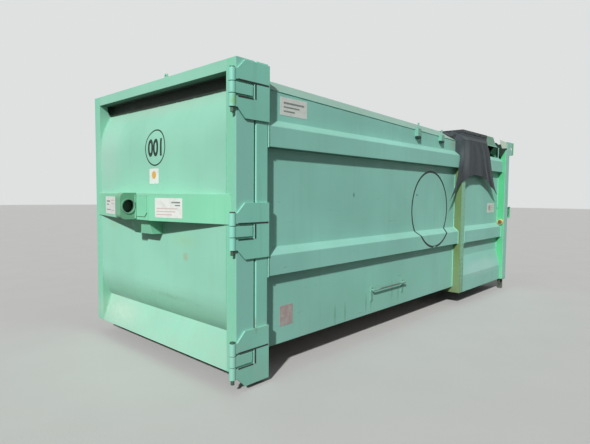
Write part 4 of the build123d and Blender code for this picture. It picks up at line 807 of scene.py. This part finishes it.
class COMPACTOR_OT_fittings(bpy.types.Operator):
    """Adds bolts, cheeks, gussets, dark strips and plates of painted shade, the power pack's fittings, push
    buttons and the conduit
    """

    bl_idname = "compactor.fittings"
    bl_label = "Small fittings"

    def execute(self, context):
        self.bolts()
        self.cheeks()
        self.gap_shades()
        self.gussets()
        self.power_pack()
        self.controls()
        return {"FINISHED"}

    def bolts(self):
        """Hexagon heads on the clamp bars, roller brackets, tank lid and the tailgate's post."""
        bm = bmesh.new()
        clamp = 2465
        for side in (-1, 1):
            for x in range(4290, 5003, 178):
                bolt(bm, at(x, side * 1162.5, clamp), -LEFT * side)
            for x in (380, 490):
                for y in (632, 848):
                    bolt(bm, at(x, side * y, 198), -UP)
        for y in range(-1000, 1001, 250):
            bolt(bm, at(4191.5, y, clamp), OUT)
            bolt(bm, at(5098.5, y, clamp), ONWARD)
        for x in (5030, 5321, 5612):
            for y in (-1078, -482):
                bolt(bm, at(x, y, 1728), UP, 0.008, 0.007)
        finished(bm, "bolts", "container", "turned_hinge_steel", bevel=0.0008)
        bm = bmesh.new()
        bolt(bm, at(0, -1168, 2262), OUT, 0.013, 0.014)
        finished(bm, "tailgate_bolts", "tailgate", "turned_hinge_steel", bevel=0.0008)

    def cheeks(self):
        """Long cheeks that carry the beam's slopes out over the tailgate's posts, and a dark disc of painted
        shade in the lug's bore.
        """
        bm = bmesh.new()
        for side in (-1, 1):
            corners = ((-196.6, 256), (-0.5, 1142), (1, 1142), (1, 256))
            pushed(bm, [at(x, side * y, 1316) for x, y in corners], (0, 0, 0.2335))
        finished(bm, "beam_cheeks", "tailgate", "enamel_beam", bevel=0.0015)
        # A thin dark disc of painted shade closes the lug's bore at its middle.
        bm = bmesh.new()
        cone(bm, at(-272.5, 6, 1439.5), LEFT, 48, 0.0585, 0.0585, 0.006)
        finished(bm, "lug_bore_shade_disc", "tailgate", "underframe_and_shade_paint", bevel=0.001)

    def gap_shades(self):
        """Dark strips of painted shade in the gaps of the hinge plates."""
        bm = bmesh.new()
        face, back = -1218.6, -1217
        for middle in HINGES:
            slab(bm, at(5, face, middle + 56), at(322, back, middle + 67))
            slab(bm, at(5, face, middle - 66), at(160, back, middle - 56))
            slab(bm, at(176, face, middle - 62), at(188, back, middle + 56))
        finished(bm, "hinge_gap_shades", "container", "black_rubber_and_gap_shade", bevel=0.0004)

    def gussets(self):
        """Small plates that close the end frame's upper corners, each with a dark plate of painted shade
        behind it.
        """
        for name, x, finish, corners in (
            ("corner_gussets", 5696, "enamel_roof", ((1148, 2481), (1262, 2427), (1266, 2328), (1188, 2333))),
            ("corner_shade_plates", 5704, "underframe_and_shade_paint",
             ((1112, 2400), (1262, 2415), (1266, 2240), (1224, 2190), (1168, 2190), (1112, 2290))),
        ):
            bm = bmesh.new()
            for side in (-1, 1):
                pushed(bm, [at(x, side * y, z) for y, z in corners], (0.006, 0, 0))
            finished(bm, name, "container", finish, bevel=0.001)

    def power_pack(self):
        """Valve block with its coils, four hoses to the deck with their ends, and the filler cap."""
        bm = bmesh.new()
        slab(bm, at(5400, -760, 1728), at(5580, -680, 1800))
        for i in range(3):
            x = 5425 + 60 * i
            slab(bm, at(x - 20, -755, 1800), at(x + 20, -705, 1850))
            cone(bm, at(x, -730, 1865), UP, 16, 0.012, 0.010, 0.03)
        finished(bm, "valve_block", "container", "enamel_grey", bevel=0.003)
        bm = bmesh.new()
        hoses = range(5410, 5561, 50)
        route = ((-680, 1764), (-600, 1775), (-480, 1790), (-400, 1700), (-380, 1400), (-380, 1132))
        for x in hoses:
            tube(bm, eased([at(x, y, z) for y, z in route], 12), 0.011, 12)
        piece = finished(bm, "pressure_hoses", "container", "black_rubber_and_gap_shade")
        bm = bmesh.new()
        for x in hoses:
            bolt(bm, at(x, *route[0]), -LEFT, 0.016, 0.022)
            bolt(bm, at(x, -380, 1128), UP, 0.018, 0.030)
        cone(bm, at(5521, -580, 1800), UP, 28, 0.050, 0.046, 0.024)
        slab(bm, at(5515, -622, 1806), at(5527, -538, 1818))
        finished(bm, "pack_fittings", "container", "turned_hinge_steel", bevel=0.001)

    def controls(self):
        """Push buttons, lamp and lid screws of the control box, and the conduit to the inlet."""
        for name, y, z, finish in (
            ("button_start", -920, 1350, "moulded_green"), ("button_stop", -850, 1350, "moulded_black"),
            ("button_reset", -780, 1350, "moulded_grey"), ("lamp", -920, 1430, "moulded_amber"),
        ):
            bm = bmesh.new()
            cone(bm, at(5950, y, z), ONWARD, 28, 0.019, 0.017, 0.008, 0.004)
            cone(bm, at(5950, y, z), ONWARD, 28, 0.013, 0.012, 0.014, 0.009)
            finished(bm, name, "container", finish, bevel=0.0015)
        bm = bmesh.new()
        for y in (-985, -715):
            for z in (1268, 1632):
                bolt(bm, at(5950, y, z), ONWARD, 0.008, 0.006)
        finished(bm, "control_screws", "container", "turned_hinge_steel", bevel=0.0006)
        bm = bmesh.new()
        route = ((-1148, 1273), (-1110, 1273), (-1070, 1240), (-980, 1180), (-900, 1185), (-870, 1215),
                 (-870, 1250))
        tube(bm, eased([at(5865, y, z) for y, z in route], 10), 0.012, 12)
        finished(bm, "inlet_conduit", "container", "moulded_black")


class COMPACTOR_OT_skirt(bpy.types.Operator):
    """Lays the dark cloth round the hopper's collar, with a hanging panel on each side"""

    bl_idname = "compactor.skirt"
    bl_label = "Loading skirt"

    # The grid of the cloth: cells along it, and across it from its middle to a hem
    cells, rows = 84, 62
    # Outline of the cloth, in millimetres: x from the tailgate's face, z, and y for the left edge
    start, end, eave_end = 3745.0, 5097.0, 4862.0
    hole = (4197.0, 5092.5, 1157.0)
    shoulder, eave_y, top, eave = 1075.0, 1257.0, 2443.5, 2333.0
    # Heights that nothing on the roofs lies below, and that the collar ends at
    roof_low, collar_top = 2300.0, 2480.5
    # The body's roof, which the cloth lies on before the step: its height there, the step's x, how much
    # the roof falls on the way, half its flat width, and half the cloth's own flat width over it
    roof_top, step_x, fall, roof_flat, body_shoulder = 2425.0, 4038.0, 0.0278, 1030.0, 1038.0
    # Where the cloth widens, rises and moves out on to the step's front face, and where a panel comes free
    # of its eave: each as its start and the length that it takes
    widening, rising, moving_out, freeing = (3985, 60), (4012, 20), (1085, 35), (0.143, 0.143)
    # How far out the panels stay clear of the body's side
    clear_y = 1135.0
    # Share of the cells that lie on the step's front face, and the corner they turn round
    turn, corner_x, corner_y = 8 / cells, 4034.0, 1246.0
    left_edge = ((4016, 2346, 1118), (4016, 2180, 1146), (4013, 2110, 1209), (3985, 1990, 1212),
                 (3935, 1835, 1218), (3858, 1695, 1224), (3769, 1586, 1229), (3652, 1461, 1234))
    right_edge = ((4862, 2333), (4973, 2199), (5057, 2010), (5150, 1815), (5264, 1657), (5357, 1567))
    hem = ((3652, 1461), (3760, 1568), (3886, 1663), (4097, 1775), (4272, 1823), (4459, 1847), (4656, 1841),
           (4826, 1813), (4967, 1757), (5090, 1692), (5212, 1628), (5357, 1567))

    def execute(self, context):
        self.woven()
        cloth = settings("cloth")
        bm = bmesh.new()
        bmesh.ops.create_grid(bm, x_segments=self.cells, y_segments=2 * self.rows, size=1)
        across = self.breaks()
        along = self.shares()
        for vertex in bm.verts:
            column = round((vertex.co.x + 1) / 2 * self.cells)
            row = round((vertex.co.y + 1) * self.rows) - self.rows
            vertex.co = self.point(along[column], across[abs(row)], -1 if row < 0 else 1)
        low_x, high_x, half_y = self.hole
        low, high = at(low_x, -half_y, self.roof_low), at(high_x, half_y, self.collar_top)
        inside = [f for f in bm.faces if all(a < b < c for a, b, c in zip(low, f.calc_center_median(), high))]
        bmesh.ops.delete(bm, geom=inside, context="FACES")
        self.upstand(bm)
        bmesh.ops.recalc_face_normals(bm, faces=bm.faces)
        piece = finished(bm, "loading_skirt_cloth", "container", "coated_cloth")
        thickness = piece.modifiers.new("Cloth", "SOLIDIFY")
        thickness.thickness = cloth.thickness
        thickness.offset = 0
        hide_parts("loading_skirt")
        return {"FINISHED"}

    def woven(self):
        """PVC-coated polyester: dark grey, a faint weave under the coat, pale dust and wear at folds."""
        tree, place = start_material("coated_cloth")
        dust = clouds(tree, place, 7, detail=5, roughness=0.62)
        streak = clouds(tree, place, 20, (1, 1, 0.09))
        corner = spot(tree, place, at(4130, -1250, 2080), (0.13, 0.1, 0.36), 0.7)
        height = add(tree, SPLIT, (place,), 2)
        # The panel over the step's corner is lighter, and the hem is darker.
        tone = layered(tree, settings("cloth").colour,
                       (add(tree, RANGE, (dust, 0.42, 0.7, 0, 0.3)), linear("#687073")),
                       (add(tree, RANGE, (streak, 0.52, 0.72, 0, 0.45)), linear("#33393b")),
                       (add(tree, MATH, (corner, 0.6), **TIMES), linear("#778083")),
                       (add(tree, RANGE, (height, 1.75, 2.1, 0.5, 0)), linear("#2f3537")))
        # Threads lie 1.2 mm apart; they are drawn at 3 mm so that the weave shows.
        weave = add(tree, "ShaderNodeTexWave", {"Vector": place, "Scale": 330, "Distortion": 0.4}, 1,
                    bands_direction="Z")
        end_material(tree, tone, add(tree, RANGE, (dust, 0.3, 0.7, 0.55, 0.75)),
                     [(clouds(tree, place, 9), 0.006), (weave, 0.0003)],
                     Specular_IOR_Level=0.2, Sheen_Weight=0.05)

    def breaks(self):
        """Distances across the cloth from its middle: first the top, then the slope, then the panel."""
        on_top, on_slope = round(self.rows * 0.45), round(self.rows * 0.16)
        hanging = self.rows - on_top - on_slope
        top = [self.shoulder * i / on_top for i in range(on_top + 1)]
        slope = [self.shoulder + (self.eave_y - self.shoulder) * i / on_slope for i in range(1, on_slope + 1)]
        self.snap(slope, self.hole[2])
        return top + slope + [self.eave_y + i / hanging for i in range(1, hanging + 1)]

    def shares(self):
        """Shares along the cloth, with two of them moved to the hole's edges."""
        shares = [i / self.cells for i in range(self.cells + 1)]
        for edge in self.hole[:2]:
            self.snap(shares, (edge - self.start) / (self.end - self.start))
        return shares

    def snap(self, values, target):
        """Moves the nearest of some values to a target. The first and the last one stay."""
        values[min(range(1, len(values) - 1), key=lambda i: abs(values[i] - target))] = target

    def on_line(self, line, share):
        """A point at a share of a smooth line through some points."""
        place = share * (len(line) - 1)
        i = min(int(place), len(line) - 2)
        return [between(*values, place - i) for values in zip(*neighbours(line, i))]

    def support(self, x, y):
        """Height of the cloth where it rests: on the body's roof, then up the step to the press."""
        roof = self.roof_top + (self.step_x - x) * self.fall - max(y - self.roof_flat, 0)
        press = self.top - max(y - self.shoulder, 0) * (self.top - self.eave) / (self.eave_y - self.shoulder)
        share = ramp(x, *self.rising)
        return roof + (press - roof) * share * share * (3 - 2 * share)

    def point(self, share, out, side):
        """A point of the cloth from its share along and its distance across."""
        along = self.start + (self.end - self.start) * share
        shoulder = self.body_shoulder
        shoulder += (self.shoulder - shoulder) * ramp(along, *self.widening)
        # The eave starts on the step's front face and turns round its corner.
        turned = share / self.turn
        eave_x = self.corner_x + (self.left_edge[0][0] - self.corner_x) * (1 - turned)
        eave_z, eave_y = [a + (b - a) * turned
                          for a, b in zip(self.left_edge[0][1:], (self.eave, self.corner_y))]
        if share > self.turn:
            beyond = (share - self.turn) / (1 - self.turn)
            eave_x = self.corner_x + (self.eave_end - self.corner_x) * beyond
            eave_y = min(self.corner_y + (eave_x - self.corner_x) * 0.1, self.eave_y)
            eave_z = self.eave
        ripple = math.sin(share * 23) * 1.6 + math.sin(share * 9 + out * 0.004 + side) * 2.2
        if out <= self.shoulder:
            y = out * shoulder / self.shoulder
            return at(along, side * y, self.support(along, y) + ripple * 0.6 + 1)
        if out <= self.eave_y:
            t = (out - self.shoulder) / (self.eave_y - self.shoulder)
            # The right end is cut on the slant from the collar's corner to the eave, the left one from
            # the body's shoulder.
            right = ramp(out, self.hole[2], self.eave_y - self.hole[2])
            near = ramp(along, self.start, self.hole[0] - self.start)
            x = along + (eave_x - along) * (t + (right - t) * near)
            y = shoulder + (eave_y - shoulder) * t
            # Outside the body's roof the cloth lies on the step's front face.
            if x < self.corner_x:
                x += (min(eave_x, self.corner_x) - x) * ramp(y, *self.moving_out)
            z = self.support(x, y)
            z += (eave_z - z) * max(t - 0.8, 0) * 5
            arch = 3 + 9 * min(share / 0.2, 1)
            return at(x, side * y, z + ripple * 0.4 + arch * math.sin(math.pi * t))
        return self.hanging(share, out - self.eave_y, side, (eave_x, eave_z, eave_y))

    def hanging(self, share, down, side, head):
        """A point of the panel that hangs from the eave, spanned between its four edges."""
        cloth = settings("cloth")
        left, right = self.on_line(self.left_edge, down), self.on_line(self.right_edge, down)
        foot = self.on_line(self.hem, share)
        first, last = self.left_edge[0], self.right_edge[0]
        tip_a, tip_b = self.hem[0], self.hem[-1]
        px, pz = [
            (1 - down) * head[i] + down * foot[i] + (1 - share) * left[i] + share * right[i]
            - ((1 - share) * (1 - down) * first[i] + share * (1 - down) * last[i]
               + (1 - share) * down * tip_a[i] + share * down * tip_b[i])
            for i in (0, 1)]
        if share <= self.turn:
            px = min(px, head[0])
        # Below the body's rib the panel hangs free, from its left edge to the step's corner.
        reach = ramp(px, left[0], max(self.corner_x - left[0], 1))
        low_y = left[2] + (self.corner_y - left[2]) * reach
        low_y += min(max(px - self.corner_x, 0) * 0.1, self.eave_y - self.corner_y)
        free = ramp(down, *self.freeing)
        fold = math.sin(share * cloth.folds * 2 * math.pi + side) * 0.6
        fold += math.sin(share * cloth.folds * 4.4 + 1.3 * side + down) * 0.4
        depth = cloth.fold_depth * 1000 * down ** 0.7 * min(share / self.turn, 1)
        # The strip on the step's front stays clear of the body's side.
        y = max(head[2] + (low_y - head[2]) * free + fold * depth - 1, self.clear_y)
        return at(px, side * y, pz)

    def upstand(self, bm):
        """Turns the cloth up against the collar round the hole."""
        near = 0.002
        low, high = [at(edge, 0, 0).x for edge in self.hole[:2]]
        half_y = self.hole[2] / 1000
        rim = []
        for edge in bm.edges:
            middle = (edge.verts[0].co + edge.verts[1].co) / 2
            beside = abs(middle.y) - half_y
            if (edge.is_boundary and middle.z > self.roof_low / 1000 and beside < near
                    and low - near < middle.x < high + near
                    and min(abs(middle.x - low), abs(middle.x - high), abs(beside)) < near):
                rim.append(edge)
        if not rim:
            raise ValueError("the cloth's hole has no rim")
        lifted = bmesh.ops.extrude_edge_only(bm, edges=rim)
        for item in lifted["geom"]:
            if isinstance(item, bmesh.types.BMVert):
                item.co.z = self.collar_top / 1000


class COMPACTOR_OT_stage(bpy.types.Operator):
    """Sets the camera, the floor and the lights"""

    bl_idname = "compactor.stage"
    bl_label = "Stage"

    def execute(self, context):
        stage = settings("stage")
        scene = bpy.context.scene
        data = bpy.data.cameras.new("camera")
        data.lens = stage.lens
        data.sensor_width = 36
        data.clip_end = 200
        camera = bpy.data.objects.new("camera", data)
        # The camera's own axes: to its right, up and back
        axes = ((0.6798, -0.7334, 0.0073), (0.0395, 0.0465, 0.9981), (-0.7323, -0.6783, 0.0606))
        camera.matrix_world = Matrix.Translation(stage.camera) @ Matrix(axes).transposed().to_4x4()
        scene.collection.objects.link(camera)
        scene.camera = camera
        self.floor(stage)
        self.lights(stage, scene)
        scene.view_settings.view_transform = "Standard"
        return {"FINISHED"}

    def floor(self, stage):
        """A wide pale floor. It looks pale to the camera and throws less light back than it shows."""
        bm = bmesh.new()
        bmesh.ops.create_circle(bm, cap_ends=True, segments=64, radius=60)
        mesh = bpy.data.meshes.new("floor")
        bm.to_mesh(mesh)
        bm.free()
        floor = bpy.data.objects.new("floor", mesh)
        bpy.context.scene.collection.objects.link(floor)
        # Painted screed: even and matt, with faint clouds and a fine grain.
        tree, place = start_material("floor_paint")
        grain = add(tree, RANGE, (clouds(tree, place, 1.5, detail=4), 0.3, 0.7, 0, 0.12))
        pale = layered(tree, stage.floor, (grain, linear("#b9b8b4")))
        end_material(tree, layered(tree, linear("#45443f"), (seen_mask(tree), pale)), 0.9,
                     [(clouds(tree, place, 60), 0.001)])
        mesh.materials.append(MADE["floor_paint"])

    def lights(self, stage, scene):
        """One soft main light from the tailgate's side and an even light all round."""
        data = bpy.data.lights.new("key", "SUN")
        data.energy = stage.key
        data.angle = stage.key_angle
        key = bpy.data.objects.new("key", data)
        towards = Vector((1.0, 0.5, -0.70))
        key.rotation_mode = "QUATERNION"
        key.rotation_quaternion = towards.to_track_quat("-Z", "Y")
        scene.collection.objects.link(key)
        world = bpy.data.worlds.new("studio")
        world.use_nodes = True
        tree = world.node_tree
        tree.nodes.clear()
        shown = add(tree, "ShaderNodeBackground", (stage.backdrop, 1.0))
        even = add(tree, "ShaderNodeBackground", ((0.96, 0.99, 1.03), stage.fill))
        mixed = add(tree, "ShaderNodeMixShader", (seen_mask(tree), even, shown))
        add(tree, "ShaderNodeOutputWorld", (mixed,))
        scene.world = world


OPERATORS = (COMPACTOR_OT_finishes, COMPACTOR_OT_marks, COMPACTOR_OT_plates, COMPACTOR_OT_welds,
             COMPACTOR_OT_fittings, COMPACTOR_OT_skirt, COMPACTOR_OT_stage)
GROUPS = {"paint": CompactorPaint, "marks": CompactorMarks, "plates": CompactorPlates,
          "cloth": CompactorCloth, "stage": CompactorStage}


class COMPACTOR_PT_panel(bpy.types.Panel):
    """Lists the compactor's pieces and their settings"""

    bl_idname = "COMPACTOR_PT_panel"
    bl_label = "Compactor"
    bl_space_type = "VIEW_3D"
    bl_region_type = "UI"
    bl_category = "Compactor"

    def draw(self, context):
        layout = self.layout
        for operator in OPERATORS:
            layout.operator(operator.bl_idname)
        for name, group in GROUPS.items():
            box = layout.box()
            box.label(text=name.capitalize())
            for key in group.__annotations__:
                box.prop(settings(name), key)


def register():
    """Registers the settings, operators and panel."""
    for group in GROUPS.values():
        bpy.utils.register_class(group)
    for name, group in GROUPS.items():
        setattr(bpy.types.Scene, "compactor_" + name, PointerProperty(type=group))
    for operator in OPERATORS:
        bpy.utils.register_class(operator)
    bpy.utils.register_class(COMPACTOR_PT_panel)


def unregister():
    """Takes the settings, operators and panel away again."""
    bpy.utils.unregister_class(COMPACTOR_PT_panel)
    for operator in reversed(OPERATORS):
        bpy.utils.unregister_class(operator)
    for name, group in reversed(GROUPS.items()):
        delattr(bpy.types.Scene, "compactor_" + name)
        bpy.utils.unregister_class(group)


def main():
    """Builds every piece in order."""
    register()
    for operator in OPERATORS:
        group, name = operator.bl_idname.split(".")
        getattr(getattr(bpy.ops, group), name)()


if __name__ == "__main__":
    main()
